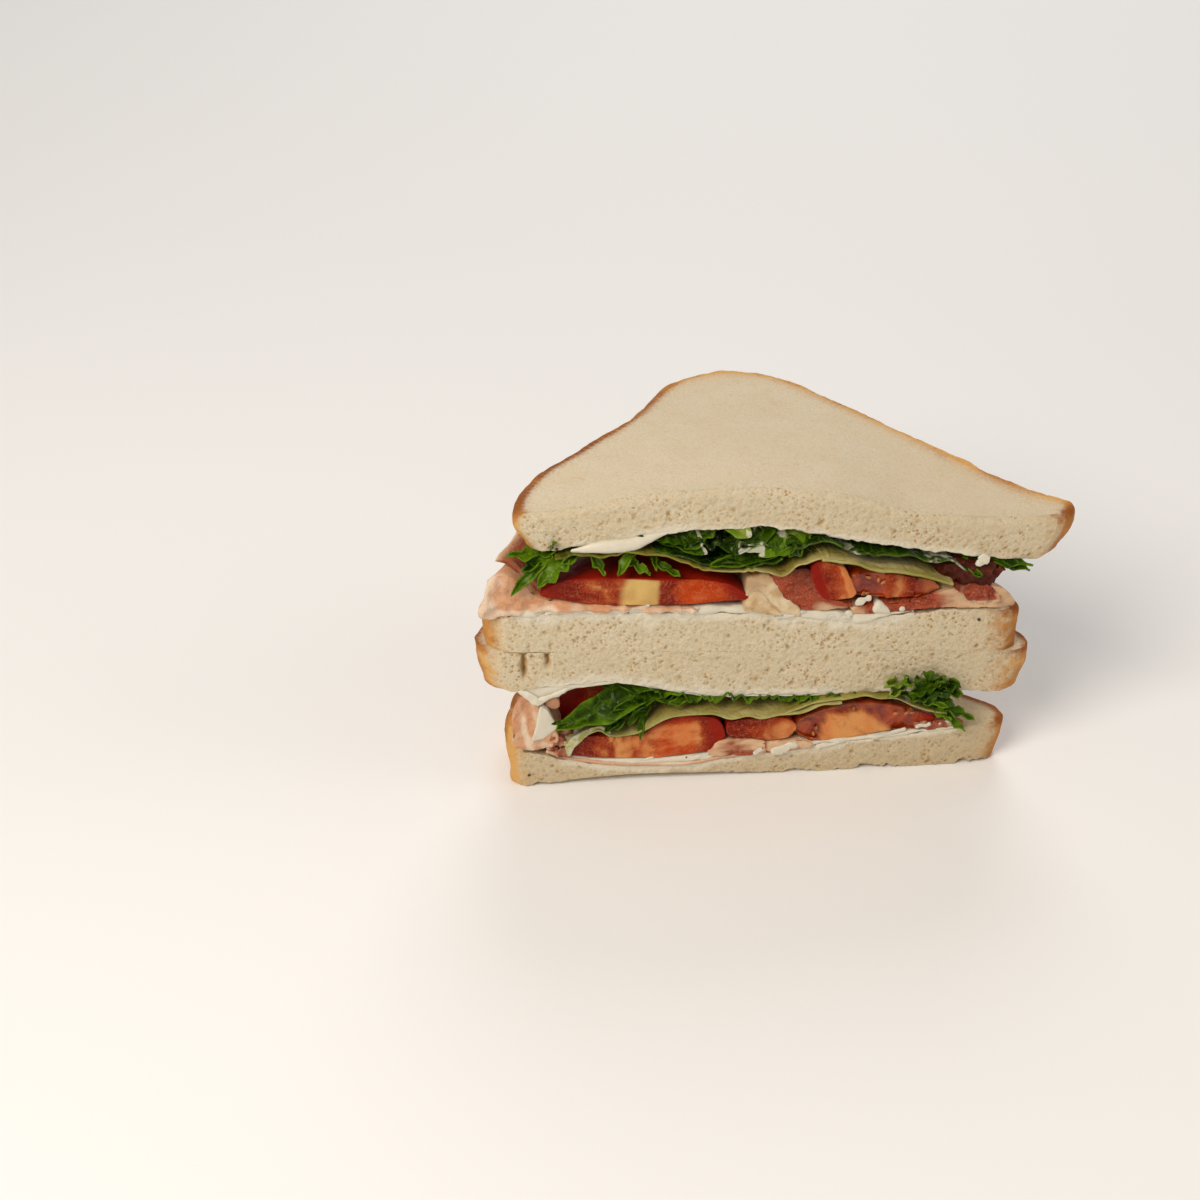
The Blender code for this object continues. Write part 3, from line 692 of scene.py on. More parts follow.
# ------------------------------------------------------------------ tomato
def tomato_flesh(settings):
    """Ripe tomato, cut with a knife: wet granular flesh that goes from pale orange to deep
    red with lighter fibres, a yellow core, glassy orange jelly and a thin glossy skin.  Its pale
    specks are partly the flesh's grains and partly painted wet glints."""
    material, node, place, skin, gel, core, red, orange = blank_material(
        "ripe_tomato_cut", "skin gel core red orange")
    fibres = node("TexNoise", sized(place, 5, Detail=3.0, Distortion=0.8))
    grain = node("TexNoise", sized(place, 0.6, Detail=3.0))
    mottle = node("Math", {0: fibres, 1: 1.2, 2: -0.15}, operation="MULTIPLY_ADD")
    tone = node("Math", {0: mottle, 1: red}, operation="ADD")
    deep = node("MapRange", {"Value": tone, "From Min": 0.5, "From Max": 1.15}, **SMOOTH)
    flesh = node("Mix", {0: deep, 6: linear("DA9858"), 7: settings.tomato_flesh}, **RGBA)
    deeper = node("MapRange", {"Value": tone, "From Min": 1.05, "From Max": 1.6}, **SMOOTH)
    # Pale specks: partly the flesh's grains, partly painted wet glints.
    grains_and_glints = node("MapRange", {"Value": grain, "From Min": 0.55, "From Max": 0.75, "To Max": 0.16})
    threads = node("TexNoise", sized(place, 3.5, Detail=2.0, Distortion=2.5))
    thread = node("Math", {0: threads, 1: 0.5}, operation="SUBTRACT")
    thin = node("Math", {0: thread}, operation="ABSOLUTE")
    pale_thread = node("MapRange", {"Value": thin, "From Max": 0.035, "To Min": 0.3, "To Max": 0.0},
        **SMOOTH)
    for amount, code in ((deeper, "7E1A06"), (orange, "CB4606"), (pale_thread, "CE9068"),
                         (grains_and_glints, "DC9C74"), (core, "E0BF74")):
        flesh = node("Mix", {0: amount, 6: flesh, 7: linear(code)}, **RGBA)
    depth = node("MapRange", {"Value": fibres, "From Min": 0.35, "From Max": 0.65})
    jelly = node("Mix", {0: depth, 6: linear("B44612"), 7: linear("6E1805")}, **RGBA)
    gelled = node("Mix", {0: gel, 6: flesh, 7: jelly}, **RGBA)
    peel = node("Mix", {0: depth, 6: settings.tomato_skin, 7: linear("96200A")}, **RGBA)
    colour = node("Mix", {0: skin, 6: gelled, 7: peel}, **RGBA)
    wet = node("MapRange", {"Value": gel, "To Min": 0.2, "To Max": 0.06})
    rough = node("Mix", {0: skin, 2: wet, 3: 0.36})
    texture = node("Math", {0: fibres, 1: 0.5, 2: grain}, operation="MULTIPLY_ADD")
    smooth = node("MapRange", {"Value": skin, "To Min": 0.5, "To Max": 0.05})
    glassy = node("MapRange", {"Value": gel, "From Min": 0.3, "To Max": 0.8})
    bump = node("Bump", {"Strength": smooth, "Distance": 0.0007, "Height": texture})
    shader = node("BsdfPrincipled", {"Base Color": colour, "Roughness": rough, "Normal": bump,
        "IOR": 1.37, "Specular IOR Level": 0.16, "Coat Weight": glassy, "Coat Roughness": 0.05,
        "Subsurface Weight": 0.22, "Subsurface Radius": (1.0, 0.35, 0.2), "Subsurface Scale": 0.002})
    node("OutputMaterial", {"Surface": shader})
    return material


def tomato(name, material, span, depth, low, high, nodes, paint, **options):
    """A piece of tomato: a slab with a wavy skin, dented where the jelly is.  paint works out
    its skin, jelly, core, redness and orange from x, z and the rise of the wall."""
    grid, rise, inner, ahead = slab(span, depth, low, high, **options)
    grid = roughen(grid, 9.0, 0.35, 70)
    grid = roughen(grid, 2.2, 0.10, 71)
    x, y, z = np.moveaxis(grid, -1, 0)
    skin, gel, core, red, orange = paint(x, y, z, rise, inner, ahead)
    grid = push(grid, -0.9 * gel * ahead)
    marks = {"skin": skin, "gel": gel, "core": core, "red": red, "orange": orange}
    return closed_piece(name, settle(grid, nodes), marks, material, nodes)


def fibre(x, y, z, along, across, seed):
    """Streaks in flesh: noise of 3 mm squeezed by along and across in x and z."""
    return cloud(xyz(x * along, y, z * across), 3.0, seed, 3)


def paint_cap(x, y, z, rise, inner, ahead):
    """End cut of a tomato: skin over its top and ends, a yellow core and pink-red flesh."""
    skin = np.maximum(ease(0.93, 0.99, rise), 1 - ahead) * (rise > 0.2)
    skin = np.maximum(skin, 0.8 * ease(-11, -17, x + (z - 66) * -0.6))
    skin = np.maximum(skin, 0.9 * ease(36, 41, x + (z - 66) * 0.9))
    wavy = 0.5 * cloud(xyz(x, y, z), 3, 6)
    core = ease(5.6, 8.6, x + (72 - z) * 0.2 + wavy) * ease(17.6, 16.2, x + wavy)
    core = core * (0.8 + 0.2 * cloud(xyz(x, y, z), 4, 5)) * ahead
    red = 0.92 + 0.5 * bell(x, 19.8, 2) + 0.45 * bell(x, -11, 4)
    red = red + 0.6 * bell(x, 38.5, 3.4) + 0.5 * bell(x, 4.4, 1.8) * ease(70, 66, z)
    red = red - 0.35 * bell(x + (z - 69) * 1.1, 2, 2.2) - 0.3 * bell(z, 66.4, 1)
    red = red + 0.5 * fibre(x, y, z, 0.5, 1.4, 50)
    orange = ease(20.5, 25, x + 2 * wavy) * ease(40, 34, x) * (0.6 + 0.3 * wavy)
    return skin, 0, core, red, orange * ahead


def paint_lower(x, y, z, rise, inner, ahead):
    """Middle cut of a pale tomato: orange flesh, mottled red at its left, skin at its right."""
    skin = 0.9 * ease(31.4, 35, x + 0.5 * np.abs(z - 15.5) * 0.5) * (inner < 0.4)
    skin = np.maximum(skin, 0.7 * ease(0.82, 0.97, rise) * ease(12, 16, x) * (inner < 0.4))
    skin = np.maximum(skin, (1 - ahead) * (inner == 0) * 1)
    mottled = 0.5 * cloud(xyz(x, y, z), 4, 7, 2)
    red = (1.1 + mottled) * bell(x, -4.5, 6) + 0.9 * ease(28.5, 33, x + mottled)
    red = red + 0.7 * ease(20, 22.5, z + mottled) * ease(13, 17, x) + 0.35 * mottled
    red = red + 0.55 * fibre(x, y, z, 1.7, 0.5, 51) * ease(16, 13, x)
    red = red + 0.6 * fibre(x, y, z, 0.35, 2, 52) * ease(13, 16, x)
    gel = 0.35 * bell(x, 12, 3) * bell(z, 11, 2.5) * ahead
    orange = 0.3 * bell(x, 11, 4) + 0.6 * ease(12, 19, x) * ease(31, 27, x)
    return skin, gel, 0, red + 0.3, orange * ahead * (0.8 + 0.5 * mottled)


def paint_wall(x, y, z, rise, inner, ahead):
    """Outer wall of a tomato: brown-red flesh, darkest at its left end."""
    skin = np.maximum(ease(0.95, 1, rise) * 0.7, (1 - ahead) * (inner == 0))
    red = 0.75 * bell(x, 41, 5.5) + 0.35 + 0.2 * ease(56, 52, x) + 0.3 * ease(18, 21, z)
    return skin, 0, 0, red, 0.2 * ease(50, 56, x)


def paint_right(x, y, z, rise, inner, ahead):
    """Ripe tomato round its seeds: jelly left and right of pale orange flesh."""
    edge = 0.9 * cloud(xyz(x, y, z), 3, 8)
    gel = ease(68.5, 66, x + edge - (z - 16) * 0.25)
    gel = np.maximum(gel, ease(83.5, 86, x + edge + (z - 17) * 1.1) * ease(97, 94, x))
    gel = np.maximum(gel, ease(21.5, 22.6, z + 0.4 * edge) * 0.8)
    skin = ease(97, 98.5, x + 0.3 * edge)
    red = 0.04 + 0.9 * ease(90, 96, x) + 0.35 * ease(20, 23, z)
    red = red + 0.45 * fibre(x + 0.6 * z, y, z, 1.5, 0.5, 53)
    orange = 0.3 * bell(x, 68.5, 1.6) + 0.25 * bell(x, 81, 1.6)
    return np.maximum(skin, (1 - ahead) * (inner == 0)), gel, 0, red, orange


def paint_wedge(x, y, z, rise, inner, ahead):
    """Upright wedge of tomato wall: red skin down its left side, brown-orange flesh."""
    side = x - (60.4 + (76 - z) * 0.34)
    skin = np.maximum(ease(2.6, 1.8, side), ease(0.96, 1, rise) * ease(66, 63, x))
    red = 0.62 + 0.4 * ease(5, 2.5, side) - 0.7 * ease(7, 8.6, side)
    red = red + 0.4 * fibre(x, y, z, 0.6, 1.2, 54)
    orange = 0.35 * ease(5, 8, side)
    return skin, 0.15 * ease(8, 10, side) * ahead, 0, red, orange


def paint_seeded(x, y, z, rise, inner, ahead):
    """Seeded middle of a tomato: jelly, a rib of pink flesh, then jelly and an orange rim."""
    edge = 0.8 * cloud(xyz(x, y, z), 2.5, 18)
    gel = np.maximum(ease(83.4, 82.4, x + edge), ease(91, 92, x + edge) * 0.6)
    red = 0.8 + 0.3 * bell(x, 90.5, 1.5) - 0.4 * bell(x, 86.5, 1.6)
    return ((1 - ahead) * (inner == 0), gel, 0.3 * ease(92.5, 95.5, x), red,
            0.5 * ease(91.5, 93, x))


# ------------------------------------------------------------------ meats
def sliced_meat(name, lean_colour, main_colour, fat_colour, dark_colour, streak, gloss):
    """Cooked, cured meat in slices: moist fibrous lean with paler streaks, soft fat along
    its rim and in its seams, darker where it dried or browned and with painted shade in its
    folds and shadows, and a wet sheen."""
    material, node, place, fat, dark = blank_material(name, "fat dark")
    flow = node("Mapping", {"Vector": place, "Scale": (0.45, 0.45, 1.0)})
    strands = node("TexNoise", sized(flow, streak, Detail=5.0, Roughness=0.6, Distortion=0.8))
    grain = node("TexNoise", sized(place, 0.7, Detail=3.0))
    lean = node("MapRange", {"Value": strands, "From Min": 0.38, "From Max": 0.62}, **SMOOTH)
    meat = node("Mix", {0: lean, 6: main_colour, 7: linear(lean_colour)}, **RGBA)
    wisps = node("MapRange", {"Value": grain, "From Min": 0.5, "From Max": 0.8, "To Max": 0.35})
    streaked = node("Mix", {0: wisps, 6: meat, 7: linear(fat_colour)}, **RGBA)
    broken = node("Math", {0: strands, 1: 0.6, 2: -0.3}, operation="MULTIPLY_ADD")
    fatty = node("Math", {0: fat, 1: broken}, operation="ADD")
    rim = node("MapRange", {"Value": fatty, "From Min": 0.1, "From Max": 0.95}, **SMOOTH)
    marbled = node("Mix", {0: rim, 6: streaked, 7: linear(fat_colour)}, **RGBA)
    # dark: browned or dried meat, and painted shade in folds and shadows
    colour = node("Mix", {0: dark, 6: marbled, 7: linear(dark_colour)}, **RGBA)
    rough = node("MapRange", {"Value": grain, "To Min": gloss - 0.08, "To Max": gloss + 0.22})
    relief = node("Math", {0: strands, 1: grain}, operation="ADD")
    bump = node("Bump", {"Strength": 0.4, "Distance": 0.0008, "Height": relief})
    shader = node("BsdfPrincipled", {"Base Color": colour, "Roughness": rough, "Normal": bump,
        "IOR": 1.4, "Specular IOR Level": 0.2, "Subsurface Weight": 0.15,
        "Subsurface Radius": (1.0, 0.45, 0.3), "Subsurface Scale": 0.0015})
    node("OutputMaterial", {"Surface": shader})
    return material


def meat_slab(name, material, span, depth, low, high, nodes, paint, folds=1.0,
              fold_size=4.0, seed=0, **options):
    """A chunk or a folded pad of meat: a slab pushed in and out by ridged noise, whose sharp
    valleys are the folds: 1 minus the size of the noise.  The valleys are darkened with painted
    shade."""
    grid, rise = slab(span, depth, low, high, **options)[:2]
    ridge = 1.0 - 2.0 * np.abs(cloud(grid * (1.0, 0.5, 1.0), fold_size, 90 + seed, 2))
    grid = push(grid, ridge * 0.5 * folds - 0.25 * folds)
    grid = roughen(grid, 1.3, 0.22, 95 + seed)
    x, y, z = np.moveaxis(grid, -1, 0)
    fat, dark = paint(x, y, z, rise)
    # Painted shade darkens the fold valleys.
    fold_shade = np.clip(-ridge, 0.0, 1.0) * 0.35 * min(folds, 1.0)
    marks = {"fat": fat, "dark": np.maximum(dark, fold_shade)}
    return closed_piece(name, settle(grid, nodes), marks, material, nodes)


def meat_sheet(name, material, line, depth, thickness, nodes, paint, wander=0.8, seed=0,
               **options):
    """A thin slice of meat: its line at the cut carried back, drifting by noise."""
    grid, along, back = fold_sheet(line, depth, **options)
    drift = shift(grid * (1.0, 0.6, 1.0), 12.0, 100 + seed)
    grid = grid + drift * np.array((1.0, 0.8, 1.0)) * wander
    grid = roughen(grid, 2.0, 0.18, 103 + seed, wrap=False)
    fat, dark = paint(along, back, grid)
    sheet = (settle(grid, nodes), {"fat": fat, "dark": dark})
    return sheets_piece(name, [sheet], thickness, material, nodes)


# ------------------------------------------------------------------ mayonnaise
def thick_mayonnaise(settings):
    """Egg mayonnaise, spread with a knife: smooth warm white, faintly see-through where it
    is thin, with a satin shine and soft ridges."""
    material, node, place = blank_material("egg_mayonnaise_spread")
    tint = node("TexNoise", sized(place, 6, Detail=3.0))
    ridges = node("TexNoise", sized(place, 1.6, Detail=3.0, Distortion=0.6))
    colour = node("Mix", {0: tint, 6: settings.mayonnaise, 7: linear("E0D8C6")}, **RGBA)
    rough = node("MapRange", {"Value": ridges, "To Min": 0.24, "To Max": 0.5})
    bump = node("Bump", {"Strength": 0.3, "Distance": 0.0006, "Height": ridges})
    shader = node("BsdfPrincipled", {"Base Color": colour, "Roughness": rough, "Normal": bump,
        "IOR": 1.46, "Subsurface Weight": 0.35, "Subsurface Radius": (1.0, 0.9, 0.7),
        "Subsurface Scale": 0.0015})
    node("OutputMaterial", {"Surface": shader})
    return material


def dollop(name, material, span, depth, low, high, nodes, proud=0.6, cut_edge=1.0, lumps=0.7,
           seed=0, **options):
    """A dollop or spread of mayonnaise: a slab with a wholly rounded wall, swollen and
    pinched by noise."""
    grid = slab(span, depth, low, high, proud=proud, cut_edge=cut_edge, **options)[0]
    grid = roughen(grid, 4.0, lumps, 120 + seed)
    return closed_piece(name, settle(grid, nodes), {}, material, nodes)


def strand(name, material, path, widths, nodes, marks, flat=0.8, lumps=0.3, lump_size=2.5,
           seed=0):
    """A soft line of something squeezed or rolled: round rings carried along a curve through
    (x, y, z) points, of the radii that widths gives there and flat times that deep, drawn in
    at both ends by a quarter circle and swollen by noise."""
    rough_length = np.linalg.norm(np.diff(np.array(path, dtype=float), axis=0), axis=1).sum()
    rows = max(int(rough_length / 0.3), 12)
    line = through(path, rows)
    t = np.linspace(0.0, 1.0, rows)
    radius = np.interp(t, np.linspace(0.0, 1.0, len(widths)), widths)
    end = np.minimum(t, 1.0 - t) * rough_length / np.maximum(radius, 0.2)
    radius = radius * np.sqrt(1.0 - (1.0 - np.minimum(end, 1.0)) ** 2) + 0.02
    ahead = np.gradient(line, axis=0)
    rise = np.column_stack((-ahead[:, 2], np.zeros(rows), ahead[:, 0]))
    rise /= np.linalg.norm(rise, axis=1)[:, None]
    turn = np.linspace(0.0, 2 * np.pi, 20, endpoint=False)
    grid = (line[:, None, :] + rise[:, None, :] * (radius[:, None] * np.cos(turn))[..., None])
    grid[..., 1] -= radius[:, None] * flat * np.sin(turn)
    swell = cloud(grid, lump_size, 120 + seed, 3) * lumps * np.minimum(radius, 1.0)[:, None]
    return closed_piece(name, settle(push(grid, swell), nodes), marks, material, nodes)


def dabs(prefix, material, spots, nodes, seed):
    """Dabs of mayonnaise at (x, z, wide, high, y): each a short bent strand along its longer
    side."""
    rng = np.random.default_rng(seed)
    for number, (x, z, wide, high, y) in enumerate(spots):
        long, short = max(wide, high), min(wide, high)
        share_x, share_z = (1.0, 0.25) if wide > high else (0.25, -1.0)
        steps = np.linspace(-0.5, 0.5, 4) * (long - 0.3 * short)
        bends = rng.uniform(-0.22, 0.22, 4) * short
        path = np.column_stack((x + steps * share_x + bends, np.full(4, y),
                                z + steps * share_z + bends[::-1]))
        widths = 0.5 * short * rng.uniform(0.6, 1.2, 4)
        strand(f"{prefix}_{number + 1}", material, path, widths, nodes, {}, flat=0.35, lumps=0.55,
            lump_size=2.4, seed=seed + number)


# ------------------------------------------------------------------ leaves
def fresh_leaf(name, dark_colour, bright_colour, rib_colour, main_colour):
    """Curly lettuce, torn and pressed: a thin waxy blade, deep green with a net of paler
    raised veins, yellow-green to whitish towards its rib and at its thin edge."""
    material, node, place, pale, film, rim = blank_material(name, "pale film rim")
    blotch = node("TexNoise", sized(place, 7, Detail=4.0))
    bent = node("TexNoise", sized(place, 3, Detail=2.0), out="Color")
    warped = node("VectorMath", {0: bent, 1: (0.003, 0.003, 0.003), 2: place}, operation="MULTIPLY_ADD")
    veins = node("TexVoronoi", sized(warped, 4.2), feature="DISTANCE_TO_EDGE")
    net = node("TexVoronoi", sized(warped, 1.5), feature="DISTANCE_TO_EDGE")
    streaks = node("Mapping", {"Vector": place, "Scale": (0.18, 0.5, 1.0)})
    fibre = node("TexNoise", sized(streaks, 1.1, Detail=3.0))
    patchy = node("MapRange", {"Value": blotch, "From Min": 0.36, "From Max": 0.62}, **SMOOTH)
    blade = node("Mix", {0: patchy, 6: main_colour, 7: linear(dark_colour)}, **RGBA)
    line = node("MapRange", {"Value": veins, "From Max": 0.09, "To Min": 0.35, "To Max": 0.0}, **SMOOTH)
    veined = node("Mix", {0: line, 6: blade, 7: linear(bright_colour)}, **RGBA)
    paler = node("Math", {0: blotch, 1: 0.5, 2: -0.25}, operation="MULTIPLY_ADD")
    ribbed = node("Math", {0: pale, 1: paler}, operation="ADD")
    share_bright = node("MapRange", {"Value": ribbed, "From Min": 0.1, "From Max": 0.55}, **SMOOTH)
    share_rib = node("MapRange", {"Value": ribbed, "From Min": 0.55, "From Max": 0.95}, **SMOOTH)
    bright = node("Mix", {0: share_bright, 6: veined, 7: linear(bright_colour)}, **RGBA)
    fibrous = node("MapRange", {"Value": fibre, "From Min": 0.4, "From Max": 0.62, "To Max": 0.55})
    veined_rib = node("Mix", {0: fibrous, 6: linear(rib_colour), 7: linear(bright_colour)}, **RGBA)
    rib = node("Mix", {0: share_rib, 6: bright, 7: veined_rib}, **RGBA)
    edged = node("Mix", {0: rim, 6: rib, 7: linear("93A456")}, **RGBA)
    wipes = node("TexNoise", sized(place, 3, Detail=3.0, Distortion=0.8))
    smudge = node("Math", {0: wipes, 1: 1.4, 2: -0.7}, operation="MULTIPLY_ADD")
    coated = node("Math", {0: film, 1: smudge}, operation="ADD")
    coat = node("MapRange", {"Value": coated, "From Min": 0.4, "From Max": 0.75, "To Max": 0.8},
        **SMOOTH)
    colour = node("Mix", {0: coat, 6: edged, 7: linear("CDCBB4")}, **RGBA)
    rough = node("MapRange", {"Value": net, "From Max": 0.4, "To Min": 0.3, "To Max": 0.13})
    swell = node("MapRange", {"Value": veins, "From Max": 0.25}, **SMOOTH)
    relief = node("Math", {0: net, 1: 0.5, 2: swell}, operation="MULTIPLY_ADD")
    bump = node("Bump", {"Strength": 0.35, "Distance": 0.0005, "Height": relief})
    shader = node("BsdfPrincipled", {"Base Color": colour, "Roughness": rough, "Normal": bump,
        "IOR": 1.42, "Specular IOR Level": 0.14, "Subsurface Weight": 0.08,
        "Subsurface Radius": (0.5, 1.0, 0.2), "Subsurface Scale": 0.001})
    node("OutputMaterial", {"Surface": shader})
    return material


def leaf_layer(name, material, line, depth, nodes, pale=0.2, film=0.0, rim=0.0,
               waves=((13.0, 1.6), (5.0, 0.7)), teeth=1.0, reach=7.0, droop=0.0, seed=0,
               thickness=0.45, hang=0.0, **options):
    """A leaf that lies across the deck: its line at the cut carried back.  Towards its front
    edge, over reach mm, it is thrown into waves (length, height) that are sines of x bent by
    noise; the edge itself is cut into teeth and may hang down."""
    grid, _, back = fold_sheet(line, depth, spacing=0.5, deep_rows=40, **options)
    x, y = grid[..., 0], grid[..., 1]
    gap = y - y[0]
    near = np.exp(-gap / reach)
    lift = swing = 0.0
    for k, (length, height) in enumerate(waves):
        bend = 2.2 * cloud(xyz(x, y * 0.5, 0), length * 1.3, 140 + seed + k, 1)
        lift = lift + height * np.sin(2 * np.pi * x / length + bend * 2.0 + seed)
        swing = swing + height * 0.7 * np.cos(2 * np.pi * x / length + bend * 2.0 + 1.3 * seed)
    notch = cloud(xyz(x, 0, 0) + seed, 3.2, 150 + seed, 3) * teeth
    grid = grid.copy()
    grid[..., 0] += swing * near * 0.5
    grid[..., 1] += (notch + swing * 0.5) * near ** 2
    grid[..., 2] += lift * near - hang * near ** 3 + 0.6 * cloud(grid, 9.0, 160 + seed, 2)
    grid[..., 2] -= droop * ease(0.72, 1.0, back)
    marks = {"pale": pale(x, y, gap) if callable(pale) else pale,
             "film": film(x, y, gap) if callable(film) else film,
             "rim": rim * ease(0.9, 0.1, gap)}
    return sheets_piece(name, [(settle(grid, nodes), marks)], thickness, material, nodes)


FROND_FACING = (0.0, -0.6, 0.8)


def frond(root, tip, width, curl, seed, lobes, ruffle=0.6, sag=0.0, rows=46, columns=21,
          depth_cut=0.6):
    """A torn frond of curly lettuce: a strip along a bowed spine from root to tip, its half
    width a taper cut into pointed lobes by a saw wave, its sides thrown into sine ruffles that
    grow with the square of the share across, and curled up like a shallow gutter."""
    root, tip = np.array((root, tip), dtype=float)
    t = np.linspace(0.0, 1.0, rows)[:, None]
    s = np.linspace(-1.0, 1.0, columns)[None, :]
    run = tip - root
    length = np.linalg.norm(run)
    ahead = run / length
    side = np.cross(ahead, FROND_FACING)
    side /= np.linalg.norm(side)
    up = np.cross(side, ahead)
    phase = seed * 0.37
    turn = (lobes * t + phase + 0.15 * np.sign(s)) % 1.0
    lobe = np.where(turn < 0.68, turn / 0.68, (1.0 - turn) / 0.32)
    taper = np.minimum(1.0, (1.0 - t) * 3.0) ** 0.7 * (0.45 + 0.55 * ease(0.0, 0.3, t))
    half = width * taper * (1.0 - depth_cut + depth_cut * lobe)
    spine = root + run * t[..., None] + up * (sag * np.sin(np.pi * t))[..., None]
    wave = np.sin(2 * np.pi * (lobes * t + phase) + 1.3 * np.sign(s)) * s ** 2 * ruffle
    fine = np.sin(2 * np.pi * lobes * 2.6 * t + phase * 5) * s ** 4 * ruffle * 0.3
    height = wave + fine + curl * s ** 2
    forward = 0.22 * width * lobe * np.abs(s) ** 1.5 * depth_cut
    grid = (spine + side * (half * s)[..., None] + up * height[..., None]
            + ahead * forward[..., None])
    grid = grid + 0.25 * shift(grid, 2.5, 170 + seed)
    return grid, np.broadcast_to(t, grid.shape[:2]), np.broadcast_to(s, grid.shape[:2])


def fronds(name, material, nodes, specs, pale=0.15, film=0.0, thickness=0.4):
    """A bunch of fronds as one piece; specs hold each one's root, tip, width, curl, lobes and
    maybe more of its options."""
    sheets = []
    for number, (root, tip, width, curl, lobes, *more) in enumerate(specs):
        shape = dict(*more)
        own = shape.pop("pale", pale)
        grid, t, s = frond(root, tip, width, curl, number + len(name), lobes, **shape)
        lighter = own + 0.45 * bell(s, 0.0, 0.22) * (1 - t) + 0.25 * np.abs(s) ** 3
        lighter = lighter + 0.35 * cloud(grid, 4.0, 190 + number, 2)
        coat = film(grid) if callable(film) else film
        sheets.append((grid, {"pale": lighter, "film": coat, "rim": 0.0}))
    return sheets_piece(name, sheets, thickness, material, nodes)


# ------------------------------------------------------------------ the filling, piece by piece
def upper_meats(ham, bacon, turkey):
    """Folded ham at the left, a fold of turkey, then bacon, on the upper middle slice."""
    def ham_fat(x, y, z, rise):
        spot = cloud(xyz(x, y, z), 5, 200, 2)
        rim = np.maximum(ease(-29.5, -32, x), ease(66, 64.2, z) * ease(-4, -14, x))
        pink = 0.25 * np.clip(cloud(xyz(x, y, z), 3.5, 205, 2), 0, 1)
        streak = cloud(xyz(x * 0.7, y, z * 1.5), 2.6, 207, 3)
        return np.clip(0.2 + 0.5 * spot + 0.6 * streak + 0.75 * rim + 0.3 * ease(-2, 10, x),
                       0, 1), pink

    meat_slab("ham_folded_left", ham, (-34.4, 29), 72,
        ((-34, 61.6), (-30.5, 61.8), (-27, 63.4), (-20, 63.6), (0, 63.2), (27, 61.4)),
        ((-34, 66), (-32.4, 75), (-28.5, 77.6), (-24, 75), (-20.5, 71.4), (-17, 68.4), (-12, 67),
         (-8, 65.8), (3, 64.7), (17, 63.2), (29, 62)),
        "ham_upper_left", ham_fat, folds=2.4, fold_size=5, lean=0.3, edge=1.5, cut_edge=1.1, proud=1.2,
        walls=22, seed=1)

    def curl(along, back, grid):
        return (0.3 + 0.6 * ease(0.88, 1, along) + 0.5 * bell(along, 0.45, 0.1),
                0.1 * (1 - along))

    meat_sheet("bacon_curl_left", bacon,
        ((-16, 67.5), (-20, 72.6), (-22.8, 76.2), (-25.4, 79.6), (-30, 82.4)),
        18, 2.2, "bacon_upper_left", curl, wander=1.4, behind=1.5, seed=11, spacing=0.5, lean=0.25)

    def turkey_tone(x, y, z, rise):
        # Painted shadow over the fold's upper left.
        shade = ease(50.5, 44.5, x) * ease(64, 69, z)
        streak = cloud(xyz(x + z, y, z - x * 0.3), 3, 210, 3)
        return np.clip(0.5 + 0.8 * streak, 0, 1), 0.5 * shade + 0.25 * np.clip(-streak, 0, 1)

    meat_slab("turkey_fold", turkey, (42, 58), 30,
        ((42, 66), (46, 62.6), (51, 59.4), (58, 57.8)),
        ((42, 72), (46, 73), (48.6, 72.8), (50.6, 69.6), (53, 66.2), (55.4, 63.2), (58, 60.4)),
        "turkey_upper", turkey_tone, folds=0.9, fold_size=6, seed=21, edge=1.2, proud=0.8, spacing=0.45,
        cut_edge=0.8)
    meat_slab("turkey_edge", turkey, (41.2, 52.5), 22,
        ((41.2, 61.4), (44, 60.6), (48, 59.8), (52.5, 58.8)),
        ((41.2, 63), (43.2, 66.8), (45, 68), (47, 67), (49.4, 62.6), (52.5, 59.6)),
        "turkey_upper", turkey_tone, folds=0.5, fold_size=3, seed=27, proud=1.6, spacing=0.4,
        cut_edge=0.8)

    def red_meat(x, y, z, rise):
        # Painted shadow darkens the top and the upper right of the block.
        top_shadow = 0.55 * ease(64, 73, z) * ease(51, 58, x)
        seam = 0.6 * cloud(xyz(x, y, z), 3, 212, 3)
        return (0.8 * ease(63.4, 60, z + 0.35 * (x - 66) + seam) * ease(59, 66, x)
                + 0.2 * seam, top_shadow + 0.3 * ease(72, 74, z))

    meat_slab("bacon_block_middle", bacon, (48.5, 73.5), 46,
        ((48.5, 71.5), (51.5, 66.4), (54.6, 62.8), (59, 60), (66, 59.4), (73, 60)),
        ((48.5, 73), (54, 74), (60.6, 74), (62.6, 69.5), (64.6, 65), (68, 62.6), (73, 61.2)),
        "bacon_upper_middle", red_meat, folds=0.5, lean=-0.15, seed=31, edge=1.2, proud=0.4)

    def long_fat(x, y, z, rise):
        pink = ease(73, 81, x) * ease(104, 94, x + 0.8 * (z - 61))
        brown = ease(116, 119, x + 0.4 * (63 - z))
        vein = 0.35 * cloud(xyz(x * 0.5, y, z * 1.8), 2.4, 214, 3)
        return np.clip(0.8 + vein - 0.85 * pink, 0, 1), 0.2 * brown

    meat_slab("bacon_rasher_right", bacon, (73.5, 121), 38,
        ((73, 58.2), (80, 57.6), (90, 58.2), (101, 58.6), (114, 57.7), (121, 58)),
        ((73, 60), (80, 60.8), (88, 60.6), (95, 62.2), (101, 64.6), (106, 65.6), (112, 65.6), (118, 64),
         (121, 60.4)),
        "bacon_upper_right", long_fat, folds=0.7, lean=-0.2, seed=41, edge=1.2, proud=0.5)

    def crisp(x, y, z, rise):
        return 0, 0.95 - 0.25 * bell(z, 70.5, 0.9) * ease(103, 106, x)

